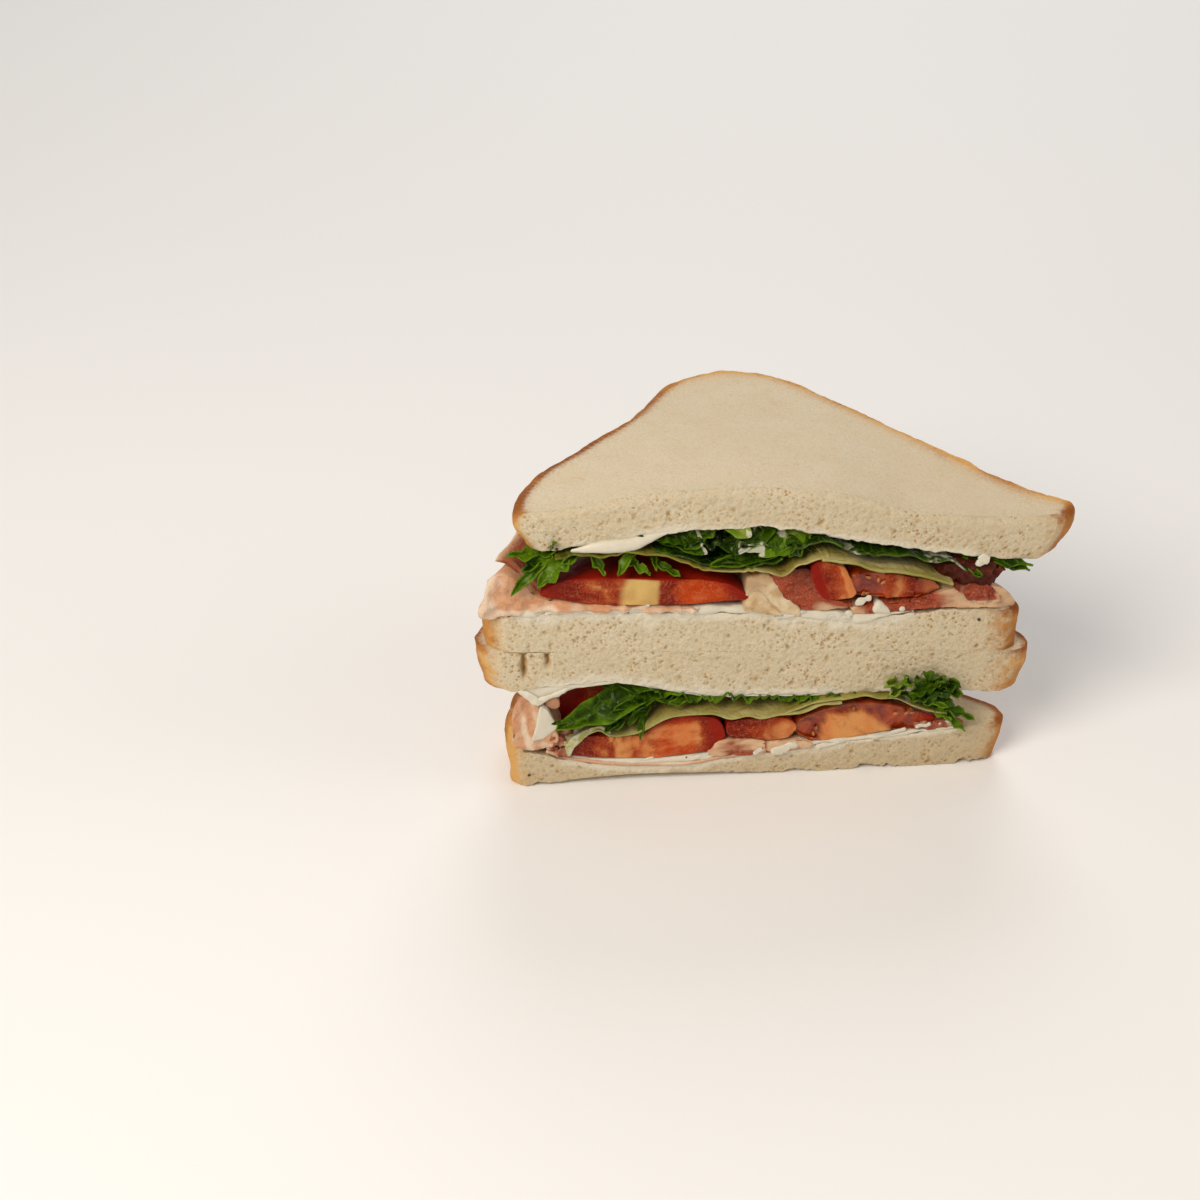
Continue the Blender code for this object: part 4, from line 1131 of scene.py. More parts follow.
    meat_slab("bacon_crisp_end", bacon, (98.6, 117.6), 16,
        ((98.6, 70.6), (101, 68), (104.3, 66), (110, 65.4), (114.8, 65.8), (115.8, 68.4),
         (117.6, 70.4)),
        ((98.6, 71.6), (100, 73.2), (105, 74), (110.6, 72.4), (112.2, 72.4), (113.4, 73.6),
         (114.3, 72.8), (114.9, 70.9), (116.3, 72.4), (117.6, 71.2)),
        "bacon_upper_end", crisp, folds=1.8, fold_size=2.8, lean=-0.3, seed=51, spacing=0.35, walls=22,
        slack=0.12, edge=0.8, cut_edge=0.6, proud=0.5, power=1.7)

    def pink_end(x, y, z, rise):
        pink = cloud(xyz(x, y, z), 2.5, 216, 2)
        return (0.8 * ease(61.4, 60.2, z) + 0.6 * ease(114, 116, x) + 0.5 * pink,
                0.35 * ease(64, 66, z))

    meat_slab("bacon_chunk_end", bacon, (102.8, 116.6), 15,
        ((102.8, 66), (104, 64.6), (105.7, 63), (107.9, 60.8), (110.3, 60), (115, 59.4), (116.6, 60.8)),
        ((102.8, 66.8), (104.7, 66.6), (109.8, 66.3), (114.3, 65.6), (115.8, 63.6), (116.6, 62)),
        "bacon_upper_end", pink_end, folds=1.3, fold_size=3, lean=-0.3, seed=57, proud=1.5,
        spacing=0.35, walls=20, slack=0.2, power=1.7, edge=0.9, cut_edge=0.8)


def lower_meats(ham, bacon):
    """Folded ham at the left, thin ham under the tomato, chunks and shreds of bacon."""
    def left_fat(x, y, z, rise):
        across = x + (z - 24) * 0.18
        streak = 0.8 * bell(across, -22.6, 1) + 0.5 * bell(across, -18.6, 1.4)
        streak = streak - 0.6 * bell(across, -20.4, 1.1) * ease(18, 22, z)
        spot = cloud(xyz(x, y, z), 3, 215, 3)
        rosy = 0.35 * ease(26, 31, z) * ease(-19, -22, x)
        return (np.clip(streak + 0.25 + 0.7 * spot - rosy, 0, 1),
                np.maximum(0.3 * np.clip(-spot, 0, 1), rosy))

    meat_slab("ham_folded_low", ham, (-26.2, -12.6), 24,
        ((-26.2, 15.8), (-25, 14.6), (-21, 13.6), (-17, 14), (-12.6, 15)),
        ((-26.2, 26), (-25.2, 29), (-23.2, 34), (-20.5, 33), (-17.6, 29), (-12.6, 21)),
        "ham_lower_left", left_fat, folds=1.4, fold_size=3.4, edge=1.5, cut_edge=1.2, proud=0.8,
        walls=22, seed=61, spacing=0.45)

    def pale_pink(along, back, grid):
        return 0.35 + 0.5 * bell(along, 0.62, 0.08), 0

    meat_slab("bacon_fat_low", ham, (-16.2, -12), 5,
        ((-16.2, 29.6), (-14, 28.2), (-12, 28.6)),
        ((-16.2, 31.4), (-14.8, 33.6), (-12.8, 32.4), (-12, 31)),
        "ham_lower_left", lambda x, y, z, rise: (0.4, 0.5), folds=0.4, spacing=0.35, walls=12, faces=6,
        behind=0.6, proud=0.2, seed=63)
    meat_sheet("ham_thin_low", ham,
        ((-16, 13.4), (-9.5, 10.6), (1, 7.9), (13, 6.6), (27, 6.2), (36, 7.6), (46, 8.6)),
        68, 1, "ham_lower_base", pale_pink, wander=0.25, lean=0.2, seed=71, front=0.5)

    def marbled(x, y, z, rise):
        streak = cloud(xyz(x * 0.6, y, z * 1.6), 3, 220, 2)
        return np.clip(0.5 + 0.7 * streak + 0.6 * ease(44.5, 48, x), 0, 1), 0

    def seam_fat(x, y, z, rise):
        return 0.95 - 0.8 * bell(x, 49.5, 1) - 0.6 * ease(10, 9, z), 0

    meat_slab("ham_chunk_middle", bacon, (32.5, 50), 46,
        ((32, 9), (36, 8.4), (43, 8), (50, 8.4)),
        ((32, 10), (36, 14.2), (44, 14.2), (50, 12.8)),
        "bacon_lower_middle", marbled, folds=0.7, fold_size=3, edge=1.2, proud=0.9, seed=81, lean=-0.1)
    meat_slab("bacon_fat_middle", bacon, (48.5, 64), 30,
        ((48, 8.8), (54, 8.6), (60, 9.2), (64, 9.8)),
        ((48, 12.4), (54, 12.8), (60, 12.8), (64, 11.6)),
        "bacon_lower_middle", seam_fat, folds=0.5, fold_size=2.5, edge=1.2, proud=0.9, seed=85)

    def browned(x, y, z, rise):
        return 0.35 + 0.5 * cloud(xyz(x, y, z), 2, 230), 0.25

    for number, (x, z, wide, high, y) in enumerate((
            (-12.6, 17, 5, 3.4, 0), (-10.6, 13, 4.6, 2.8, -0.4),
            (-14.2, 13.4, 4, 2.6, 0.6), (-10, 19, 3.2, 2.8, 2))):
        meat_slab(f"bacon_shred_{number + 1}", bacon, (x - wide / 2, x + wide / 2), 5,
            ((x - 3, z - high * 0.4), (x + 3, z - high * 0.6)),
            ((x - 3, z + high * 0.4), (x, z + high * 0.6), (x + 3, z + high * 0.2)),
            "ham_lower_left", browned, folds=1.4, fold_size=1.8, spacing=0.3, walls=10, faces=6,
            behind=y, proud=1, seed=91 + number)
    meat_slab("bacon_scrap_right", bacon, (95.5, 110), 18,
        ((95, 14.6), (101, 14.2), (106, 15), (110, 15.6)),
        ((95, 16.4), (101, 17.6), (106, 17.8), (110, 16.6)),
        "bacon_lower_right", lambda x, y, z, rise: (0.3 + 0.9 * cloud(xyz(x, y, z), 2, 235), 0.15),
        fold_size=2.5, seed=97, lean=-0.2, proud=0.7)


def upper_tomatoes(material):
    """A capped end cut at the left, an upright wedge and a seeded piece at the right."""
    tomato("tomato_end_cut", material, (-17.2, 43.4), 30,
        ((-17.2, 69.2), (-12, 67.7), (-8, 66.8), (3, 65.1), (18, 63.9), (36.8, 64.3), (43.4, 64.8)),
        ((-17.2, 70.4), (-14, 72.6), (-9.7, 74.2), (-1, 74.4), (9, 73.8), (17, 73), (28.7, 72.4),
         (36.6, 70.4), (40, 68.4), (43.4, 65.4)),
        "tomato_upper_left", paint_cap, spacing=0.45, edge=3, cut_edge=0.15, walls=22, power=2,
        proud=0.4)
    tomato("tomato_wedge", material, (60.4, 74), 16,
        ((60.4, 72.5), (62.4, 67), (64.6, 63.8), (69, 63.4), (73, 63.8), (74, 65)),
        ((60.4, 75), (62, 76.6), (63.8, 76.8), (67, 75.6), (70.3, 74.2), (71.4, 72), (73.4, 67.4),
         (74, 65.6)),
        "tomato_upper_right", paint_wedge, spacing=0.35, edge=0.8, cut_edge=0.3, walls=20, proud=1,
        slack=0.2, power=1.7)
    tomato("tomato_seeded", material, (72, 99), 34,
        ((72, 65), (76, 63.4), (83, 62.4), (91.5, 62.2), (96, 63), (99, 64.4)),
        ((72, 70.2), (77.5, 71.4), (83.5, 70.8), (91.5, 69), (96, 67.8), (99, 66.2)),
        "tomato_upper_right", paint_seeded, spacing=0.4, edge=1.5, cut_edge=0.3, walls=20, proud=0,
        lean=-0.1)


def lower_tomatoes(material):
    """A pale slice at the left, its wall and a ripe seeded slice at the right, one behind."""
    tomato("tomato_pale_cut", material, (-9.4, 37.6), 40,
        ((-9.4, 12.4), (-7.5, 11), (1.3, 9.6), (15, 8.6), (27, 9.6), (33.6, 10.2), (37.4, 14)),
        ((-9.4, 14.6), (-6.7, 16.4), (-3, 18.2), (4.5, 17), (13.6, 17.4), (16.7, 21.2), (24.7, 23.8),
         (33, 22.8), (36.2, 21), (37.6, 17)),
        "tomato_lower_left", paint_lower, spacing=0.45, edge=2.5, cut_edge=0.2, walls=24, power=2,
        proud=0.2)
    tomato("tomato_wall_cut", material, (37.9, 59), 24,
        ((37.9, 16.4), (40, 15), (44, 14.2), (51, 13.2), (57, 14), (59, 16.6)),
        ((37.9, 20.6), (42, 21.4), (54, 21.6), (57.4, 20.4), (59, 18.2)),
        "tomato_lower_right", paint_wall, spacing=0.42, edge=1.6, cut_edge=0.3, walls=18, proud=0.5)
    tomato("tomato_ripe_cut", material, (58.2, 101), 35,
        ((58.2, 15), (62, 12.6), (68, 11), (77, 12.4), (86, 14), (95, 13.8), (101, 16.4)),
        ((58.2, 18.4), (62, 20.8), (66, 22.8), (74, 24.6), (82, 24.6), (88, 23.6), (95, 21.4),
         (101, 18.6)),
        "tomato_lower_right", paint_right, spacing=0.42, edge=2, cut_edge=0.3, walls=22, proud=0)
    tomato("tomato_behind", material, (-14, 3), 26,
        ((-14, 17.8), (-5, 18), (3, 19)),
        ((-14, 27), (-9, 31.4), (-3, 32.4), (3, 30.6)),
        "tomato_lower_back", lambda x, y, z, rise, inner, ahead: (ease(-4, -6, x), 0, 0, 0.8, 0),
        edge=2, behind=9)


def tomato_seeds(material):
    """Seeds in the jelly, one piece: each a flattened drop 1.9 mm long, swept from the same
    small grid to its place."""
    rng = np.random.default_rng(5)
    around = np.linspace(0, 2 * np.pi, 10, endpoint=False)
    along = np.linspace(0, 1, 8)
    radius = 0.52 * np.sin(np.pi * along ** 0.75) ** 0.8
    drop = xyz(along[:, None] * 1.9 - 0.95, radius[:, None] * np.cos(around)[None, :] * 0.55,
               radius[:, None] * np.sin(around)[None, :])
    spots = []
    for x0, x1, z0, z1, number in ((74, 82, 64, 70, 5), (61, 66, 14, 20, 2),
                                   (87, 95, 15, 21, 3), (74, 77, 23, 24.2, 1)):
        for _ in range(number):
            spots.append((rng.uniform(x0, x1), rng.uniform(z0, z1), rng.uniform(0, np.pi)))
    points, faces = [], []
    for number, (x, z, turn) in enumerate(spots):
        c, s = math.cos(turn), math.sin(turn)
        moved = xyz(x + drop[..., 0] * c - drop[..., 2] * s, drop[..., 1] + 0.25,
                    z + drop[..., 0] * s + drop[..., 2] * c)
        points.append(moved.reshape(-1, 3))
        quads = grid_faces(8, 10, True, number * 80)[:, ::-1]
        faces += quads.tolist()
    marks = {"skin": 0, "gel": 0.55, "core": 0.4, "red": 0.4, "orange": 0}
    flat = np.vstack(points)
    marks = {mark: np.full(len(flat), value) for mark, value in marks.items()}
    return finish_piece("tomato_seeds", flat, faces, marks, material,
                        "tomato_upper_right tomato_lower_right")


def upper_mayonnaise(material):
    """Spread on the upper middle slice and under the top slice, with a thick dollop."""
    dollop("mayonnaise_middle", material, (-24, 92), 58,
        ((-24, 62.2), (-10, 62.2), (20, 60.6), (40, 59.6), (60, 57), (75, 54.2), (84, 56.6),
         (92, 57.2)),
        ((-24, 64.2), (-10, 64.1), (3, 63.6), (20, 62.9), (45, 61.8), (60, 59.4), (75, 57.6),
         (84, 57.8), (92, 57.8)),
        "mayonnaise_upper_base", proud=0.35, lumps=0.8, seed=1, walls=10, edge=0.8, cut_edge=1.1,
        lean=-0.1, spacing=0.5)
    strand("mayonnaise_dollop", material,
        ((-8.4, -0.6, 84), (-5, -1, 84.6), (-1, -1.2, 85.3), (4, -1.2, 85.4), (9, -1, 85.7),
         (14, -0.4, 87), (20, 0.4, 88.6)),
        (0.5, 1.3, 2, 2.1, 1.8, 1.1, 0.4), "mayonnaise_upper", {}, flat=0.75, lumps=0.25, lump_size=3.5,
        seed=3)
    dollop("mayonnaise_top", material, (10, 98), 54,
        ((10, 86.4), (20, 87.6), (30, 88.5), (50, 88), (60, 85.6), (80, 80.6), (98, 77)),
        ((10, 86.8), (20, 88.1), (30, 89.1), (50, 88.6), (60, 86.1), (80, 81.1), (98, 77.5)),
        "mayonnaise_upper", proud=-1.6, lumps=0.5, seed=5, walls=8, edge=0.6, cut_edge=0.3)
    dollop("mayonnaise_smear_bacon", material, (79.6, 84.4), 6,
        ((79.6, 57.4), (82, 56.4), (84.4, 57.2)),
        ((79.6, 60.4), (80.4, 61.6), (81.6, 61.8), (83, 60), (84.4, 58.2)),
        "mayonnaise_upper", proud=0.9, lumps=0.9, seed=7, spacing=0.35, edge=1.4, cut_edge=1.2)
    dabs("mayonnaise_bit", material,
        ((76.4, 62.4, 6, 2.6, -0.7), (88, 58.8, 3, 2.4, -0.5), (109.2, 74.4, 5.2, 4.6, -1.4),
         (55.5, 58.6, 9, 1.5, -0.4), (43.6, 62.4, 4.4, 1.9, -0.6), (66.5, 57, 5, 1.2, -0.3),
         (72, 57.2, 4, 3, -0.3), (10, 63.2, 9, 1, -0.4), (-12, 64, 8, 1, -0.3)),
        "mayonnaise_upper", 7)


def lower_mayonnaise(material):
    """Spread on the bottom slice and under the lower middle slice, a drip and dollops."""
    dollop("mayonnaise_bottom", material, (-11, 108), 62,
        ((-11, 10.2), (0, 7.7), (12, 6.6), (25, 6.4), (35, 7.6), (60, 9.8), (80, 11.2), (108, 14)),
        ((-11, 11.6), (0, 9.2), (12, 8.2), (25, 8.4), (35, 9.2), (60, 11.2), (80, 12.6), (108, 15)),
        "mayonnaise_lower_base", proud=0.2, lumps=0.5, seed=21, walls=8, edge=0.8, cut_edge=0.6,
        lean=-0.1)
    dollop("mayonnaise_lower_film", material, (-24, 78), 54,
        ((-24, 35.2), (-21, 33.6), (-18.4, 31.6), (-16.6, 32.6), (-14.4, 33), (-11.7, 34), (-8, 35.4),
         (6, 37), (20, 33.1), (30, 30.4), (40, 29.7), (60, 28.6), (78, 28.4)),
        ((-24, 36.2), (-10, 37), (5, 37.6), (20, 33.7), (30, 30.9), (60, 29.1), (78, 28.9)),
        "mayonnaise_lower", proud=-0.2, lumps=0.3, seed=23, walls=9, edge=0.5, cut_edge=0.4,
        spacing=0.5, slack=0.4)
    strand("mayonnaise_drip_low", material,
        ((-24, 0, 35.8), (-21, -0.3, 34.2), (-18.6, -0.5, 32.2), (-16.8, -0.4, 33), (-14.4, -0.3, 33.6),
         (-11.7, -0.2, 34.6), (-8.5, -0.1, 36.4)),
        (0.3, 1.3, 1.5, 1, 0.8, 0.7, 0.3), "mayonnaise_lower", {}, flat=0.45, lumps=0.5, lump_size=1.8,
        seed=24)
    dollop("mayonnaise_dollop_low", material, (-20.4, -12.6), 4,
        ((-20.4, 18), (-18.4, 18.2), (-16.8, 18.8), (-14.6, 21), (-12.6, 22.2)),
        ((-20.4, 19.4), (-19.2, 22.6), (-18.6, 26), (-18, 30.4), (-16.6, 30), (-15, 28.4),
         (-13.8, 25.4), (-12.6, 23.2)),
        "ham_lower_left", proud=1.5, lumps=0.5, seed=25, spacing=0.3, walls=16, slack=0.25, power=1.8)
    dabs("mayonnaise_dab", material,
        ((31, 8.9, 9, 1.3, -0.4), (56, 10.4, 9.4, 3, -1), (69, 10.4, 8, 1.5, -0.4),
         (87, 13.4, 11, 1.5, -0.5), (97.4, 16.2, 5.4, 1.5, -0.9), (104, 16.6, 3.6, 1.2, -0.6),
         (12, 7.9, 9, 1, -0.3), (47.5, 9.6, 4, 1.8, -0.9)),
        "mayonnaise_lower_base", 27)


def upper_leaves(lettuce, pale_leaf):
    """Lettuce over the upper tomatoes: a smooth blade, folded frills and torn tips."""
    def blade(x, y, gap):
        return (0.25 + 0.5 * ease(20, 40, x) * np.exp(-gap / 8)
                + 0.15 * np.exp(-gap / 1)) * ease(-12, 6, x)

    leaf_layer("leaf_blade_upper", pale_leaf,
        ((-13, 82.6), (-6, 83.2), (3, 83), (11, 83.2), (17, 82.2), (23, 80), (29, 77.4), (36, 75.8),
         (46, 74.4), (52.5, 74), (56.4, 75.6), (60.4, 77.6), (65, 79.6)),
        74, "leaf_upper_left", pale=blade, waves=((17, 0.7), (6, 0.25)), teeth=0.4, front=2, seed=3,
        rim=0.1, droop=7)

    def smear(grid):
        x, _, z = np.moveaxis(grid, -1, 0)
        wander = 0.8 * cloud(grid, 2.5, 290, 2)
        arch = bell(z + wander, 87.4, 1.1) * ease(40.5, 42, x) * ease(53.5, 52, x)
        drop = bell(x + wander, 52.2, 1.1) * ease(83.4, 84.4, z) * ease(88.4, 87.4, z)
        patch = bell(z + wander, 81.6, 1.2) * ease(38.6, 40, x) * ease(47.4, 46, x)
        line = bell(x + 0.45 * (z - 84) + 0.3 * wander, 29, 0.5) * ease(79.5, 80.5, z)
        return 0.12 + 1.1 * np.maximum(np.maximum(arch, drop), np.maximum(patch, line))

    def milky(x, y, gap):
        return 0.25 + 0.3 * bell(x, 44, 7)

    leaf_layer("lettuce_roll_low", lettuce,
        ((15, 84.2), (22, 80.6), (30, 78.2), (38, 77.2), (46, 77), (52, 78.6)),
        66, "lettuce_upper_middle", pale=0, film=0.1, waves=((14, 0.8), (5.5, 0.3)), teeth=0.6,
        front=1.2, seed=5, rim=0.1)
    leaf_layer("lettuce_fold_high", lettuce,
        ((10, 86.4), (18, 86.6), (27, 84.2), (36, 82.4), (44, 82.2), (52, 83.6), (60, 82)),
        62, "lettuce_upper_middle", pale=0.1, film=milky, waves=((10, 1.6), (4, 0.5)), teeth=0.9,
        front=0.6, seed=6)
    specs = [
        ((14, 6, 87), (30, -1.2, 81.4), 3.2, 0.8, 2, {"depth_cut": 0.3}),
        ((56, 4, 79.6), (31, -1.8, 77.6), 2.5, 1.2, 1, {"depth_cut": 0.15, "ruffle": 0.3, "sag": -1}),
        ((64, 5, 85), (41, -1.4, 82.2), 4, -0.8, 2, {"depth_cut": 0.25, "ruffle": 0.7}),
        ((52, 6, 87.6), (38, -1.6, 81.2), 3.4, 0.8, 2, {"depth_cut": 0.4}),
        ((33, 5, 88), (24, -1, 83), 3.2, 0.8, 2, {"depth_cut": 0.4}),
        ((35, 4, 89.6), (42.5, -1.6, 86.8), 3, 0.5, 1, {"depth_cut": 0.15, "pale": 0.5, "ruffle": 0.3}),
        ((60, 5, 86.6), (45.4, -1.8, 80.6), 4.6, -0.9, 1.6, {"depth_cut": 0.2, "pale": 0.42}),
        ((60, 3, 84), (54, -1.2, 79), 2.6, 0.6, 2),
    ]
    fronds("lettuce_crumple_upper", lettuce, "lettuce_upper_middle", specs, pale=0.08, film=smear)
    specs = [
        ((-13, 3, 82), (-25.4, -3.2, 71.4), 1.9, 0.7, 1.1, {"sag": 1.6, "depth_cut": 0.35,
            "ruffle": 0.5}),
        ((-8, 4, 83.4), (-26.6, -2.2, 84.2), 2.5, 1, 3, {"sag": -1.6, "depth_cut": 0.7}),
        ((-15, 4, 82), (-12.6, -2.8, 88.6), 1.1, 0.3, 1, {"depth_cut": 0.2}),
        ((-7, 4, 83.2), (-17.4, -3.4, 74.2), 3.8, 1.2, 3.2, {"sag": 1.2, "depth_cut": 0.5,
            "ruffle": 0.9}),
        ((-12, 5, 83.2), (-22, -2.4, 79), 2.6, 1, 2.4, {"pale": 0.1}),
        ((-3, 4, 83.2), (-11, -2.6, 80.6), 2.2, 0.9, 2.2, {"pale": 0.2}),
    ]
    fronds("lettuce_tips_left", lettuce, "lettuce_upper_left", specs, pale=0.32)
    specs = [
        ((-4, 5, 83), (1.2, -2.8, 76.8), 1.8, 0.7, 2.4),
        ((12, 5, 83.2), (4.8, -2.8, 76.6), 2, 0.8, 1.6, {"sag": 1}),
        ((7, 4, 79), (14.2, -2.6, 76), 1.6, 0.9, 2.6, {"sag": -0.8, "ruffle": 0.9}),
        ((15, 5, 83), (15.6, -2.6, 77.4), 1.1, 0.9, 1.2, {"sag": -1.6}),
        ((15, 4, 77.6), (22.6, -3, 75.4), 1.4, 0.6, 2.4, {"sag": -0.8, "depth_cut": 0.5}),
    ]
    fronds("lettuce_tips_middle", lettuce, "leaf_upper_left", specs, pale=0.34)

    def streaked(x, y, gap):
        return 0.82 + 0.15 * cloud(xyz(x * 0.4, y, 0), 3, 260)

    leaf_layer("leaf_rib_upper", pale_leaf,
        ((63, 78.8), (67, 78.6), (73, 76.6), (80, 74.4), (90, 72), (97, 70.2), (101.6, 68.6)),
        26, "leaf_upper_pale", pale=streaked, waves=((16, 0.4),), teeth=0.25, front=3.2, seed=9,
        rim=0.25, thickness=0.8, lean=-0.1)

    def smeared(x, y, gap):
        return 0.2 + 0.35 * bell(x, 72, 3) + 0.4 * bell(x, 99, 6)

    leaf_layer("lettuce_blade_right", lettuce,
        ((56, 82.4), (62, 83), (68, 81.6), (76, 79.6), (84, 78), (92, 76.6), (100, 74.6), (106, 72.6)),
        40, "leaf_upper_right", pale=0.1, film=smeared, waves=((17, 0.7), (7, 0.2)), teeth=0.6,
        front=1.4, seed=12, rim=0.12, droop=4)
    specs = [
        ((102, 5, 73.6), (110, -1.6, 69.4), 2, 0.8, 2),
        ((104, 5, 74), (124.6, -1.8, 72.6), 2.4, 0.6, 2.2, {"ruffle": 0.4}),
        ((110, 5, 73.6), (124.2, -1.2, 70.4), 2.2, 0.6, 1.6, {"ruffle": 0.4, "sag": 1}),
    ]
    fronds("lettuce_tips_right", lettuce, "lettuce_upper_right", specs)


def lower_leaves(lettuce, pale_leaf):
    """Lettuce over the lower tomatoes: a glossy lobed leaf, a pale blade, a bright frill."""
    def rib(x, y, gap):
        streak = cloud(xyz(x * 0.5, y, 0), 4, 270)
        return 0.72 + 0.2 * np.exp(-gap / 1.2) + 0.1 * streak

    def veil(x, y, gap):
        return 0.55 * ease(3, -7, x) + 0.2 * bell(x, 16, 3)

    leaf_layer("leaf_blade_lower", pale_leaf,
        ((-11, 17.4), (-6.4, 19.4), (-1, 22.6), (2.2, 20), (5, 19.4), (10, 20.6), (14, 22.4),
         (18, 24.4), (24, 26), (32, 26.2), (38, 25), (46, 24.4), (54, 24.6), (60, 25.6), (66, 27),
         (72, 28)),
        66, "leaf_lower_pale", pale=rib, film=veil, waves=((14, 0.4),), teeth=0.15, front=2.6, seed=15,
        rim=0.35, hang=0.6, droop=4)

    specs = [
        ((27, 8, 34), (-13.2, -3.8, 23.4), 5.4, 1.6, 2.2, {"sag": 1.8, "rows": 80, "ruffle": 0.8,
            "depth_cut": 0.25}),
        ((-8, -2, 25.4), (-14.6, -3.8, 25.9), 0.9, 0.2, 1, {"rows": 16, "columns": 9}),
        ((14, 5, 30), (1, -3.6, 21.6), 2.4, 1, 1.6, {"depth_cut": 0.4}),
        ((30, 7, 32), (4, -2.4, 28.6), 3.8, 1, 3, {"sag": 0.6}),
        ((14, 5, 29.6), (11.6, -3.8, 18.8), 1.6, 0.3, 2),
        ((10, 5, 29), (4.6, -3.8, 22.6), 2.6, 0.4, 1.5),
        ((18, 7, 30), (8.4, -3.4, 24), 2.6, 0.4, 2),
        ((-2, 9, 34), (16, -0.5, 34), 3.2, 0.8, 2),
        ((40, 7, 30.6), (20, -2, 29.6), 2.6, 0.6, 4),
    ]
    fronds("lettuce_glossy_lower", lettuce, "leaf_lower_dark", specs, pale=0.06)

    def fuzz(x, y, gap):
        return 0.35 + 0.3 * cloud(xyz(x, y, 0), 3, 280)

    leaf_layer("lettuce_fringe_lower", lettuce,
        ((16, 33.2), (24, 31.2), (32, 29.6), (38, 30.6), (44, 29), (52, 28.4), (60, 28.2), (68, 28.6),
         (76, 28.8)),
        50, "leaf_lower_thin", pale=fuzz, film=0.25, waves=((7, 0.8), (2.6, 0.5)), teeth=1.1, front=1,
        seed=18, reach=4)
    strand("leaf_curl_lower", pale_leaf,
        ((-9.6, -2.6, 12.8), (-9, -2.6, 16.6), (-6.4, -2.4, 19.4), (-3, -2.2, 21.6), (0, -2, 22.2),
         (2.2, -1.8, 20.6), (2.8, -1.6, 18.6)),
        (0.5, 1.4, 1.5, 1.1, 0.8, 0.7, 0.4), "leaf_lower_pale", {"pale": 0.95, "film": 0.62,
        "rim": 0.3}, flat=0.28, lumps=0.35, lump_size=1.8, seed=28)
    leaf_layer("leaf_edge_lower", pale_leaf,
        ((54, 24.4), (62, 26.6), (70, 28.4), (77, 29.4), (84, 28.4), (91, 25.8), (98, 23), (104, 21)),
        52, "leaf_lower_thin", pale=lambda x, y, gap: 0.55 + 0.3 * np.exp(-gap / 1), waves=((18, 0.4),),
        teeth=0.35, front=2.2, seed=20, rim=0.3, lean=-0.1, droop=4)
    # Painted light: the fronds at the left get more of the pale green, as highlights, and those at the
    # right less.
    specs = [
        ((90, 1, 31.6), (83.6, -4.2, 33.4), 2.2, 1.8, 1.8, {"pale": 0.65}),
        ((91, 1, 30.4), (85.2, -4.2, 29.8), 2, 1.6, 1.8, {"pale": 0.5}),
        ((93, 1, 31), (88.4, -4.4, 34.6), 2.2, 2, 1.6, {"pale": 0.5}),
        ((95, 1, 31), (93.4, -4.4, 34.4), 1.9, 1.6, 1.6, {"pale": 0.2}),
        ((98, 1, 31), (97.2, -4.6, 36), 2.5, 2.2, 1.8, {"pale": 0.2}),
        ((101, 1, 30), (102.2, -4.4, 34.4), 2.2, 1.6, 1.8, {"pale": 0.1}),
        ((102, 1, 29.4), (107, -4.2, 32), 2.6, 1.8, 1.8, {"pale": 0}),
        ((100, 1, 29), (107.6, -4, 28.6), 2.6, 1.6, 2.2, {"pale": 0.1}),
        ((99, 1, 28.6), (105.6, -4, 25.6), 2.2, -1.2, 2, {"pale": 0.1}),
        ((102, 1, 31), (91.4, -4.4, 30.4), 2.5, 1.6, 3.2, {"pale": 0.1}),
        ((93, 1, 28.6), (103.2, -4.6, 30.4), 2.2, -1.4, 3, {"pale": 0}),
        ((101, 1, 28), (92.6, -4.2, 27.4), 2, 1.4, 2.6, {"pale": 0.05}),
        ((90, 2, 26.6), (103.4, -4.2, 25), 1.7, 0.8, 3.4, {"pale": 0.3}),
        ((97, 2, 25), (112, -3.6, 19.6), 2.2, 0.5, 4),
        ((100, 2, 23), (109.6, -3.8, 15.4), 1.8, 0.4, 3),
        ((96, 2, 24.4), (105, -3.6, 19.4), 1.7, 0.4, 3),
    ]
    fronds("lettuce_frill_lower", lettuce, "lettuce_lower_right", specs, pale=0.25)


def black_pepper():
    """Specks of cracked black pepper on the crumb and the mayonnaise, in one piece: each a
    sphere of 6 by 8 points scaled by noise, at (x, z, radius)."""
    material, node, place = blank_material("black_pepper_cracked")
    shade = node("TexNoise", sized(place, 0.3))
    colour = node("Mix", {0: shade, 6: linear("16110C"), 7: linear("4A3A28")}, **RGBA)
    shader = node("BsdfPrincipled", {"Base Color": colour, "Roughness": 0.6})
    node("OutputMaterial", {"Surface": shader})
    tall = np.linspace(0.12, np.pi - 0.12, 6)[:, None]
    turn = np.linspace(0, 2 * np.pi, 8, endpoint=False)[None, :]
    ball = xyz(np.sin(tall) * np.cos(turn), np.sin(tall) * np.sin(turn), -np.cos(tall))
    points, faces = [], []
    for number, (x, z, radius) in enumerate((
            (8, 62.2, 0.42), (111.2, 53.4, 0.48), (35.4, 10.4, 0.45), (26, 8.2, 0.38),
            (-13.6, 85.4, 0.55), (-12.2, 84.6, 0.4), (-21.4, 4.6, 0.42), (7.2, 64.2, 0.3),
            (43.2, 62.4, 0.4))):
        lump = 1 + 0.45 * cloud(ball + number * 3.1, 0.9, 3)
        points.append((ball * lump[..., None] * radius + (x, -0.15, z)).reshape(-1, 3))
        first = number * 48
        faces += grid_faces(6, 8, True, first).tolist()
        faces.append(tuple(range(first + 7, first - 1, -1)))
        faces.append(tuple(range(first + 40, first + 48)))
    return finish_piece("pepper_specks", np.vstack(points), faces, {}, material, "")


# ------------------------------------------------------------------ settings
COLOUR = {"subtype": "COLOR", "size": 4, "min": 0.0, "max": 1.0}


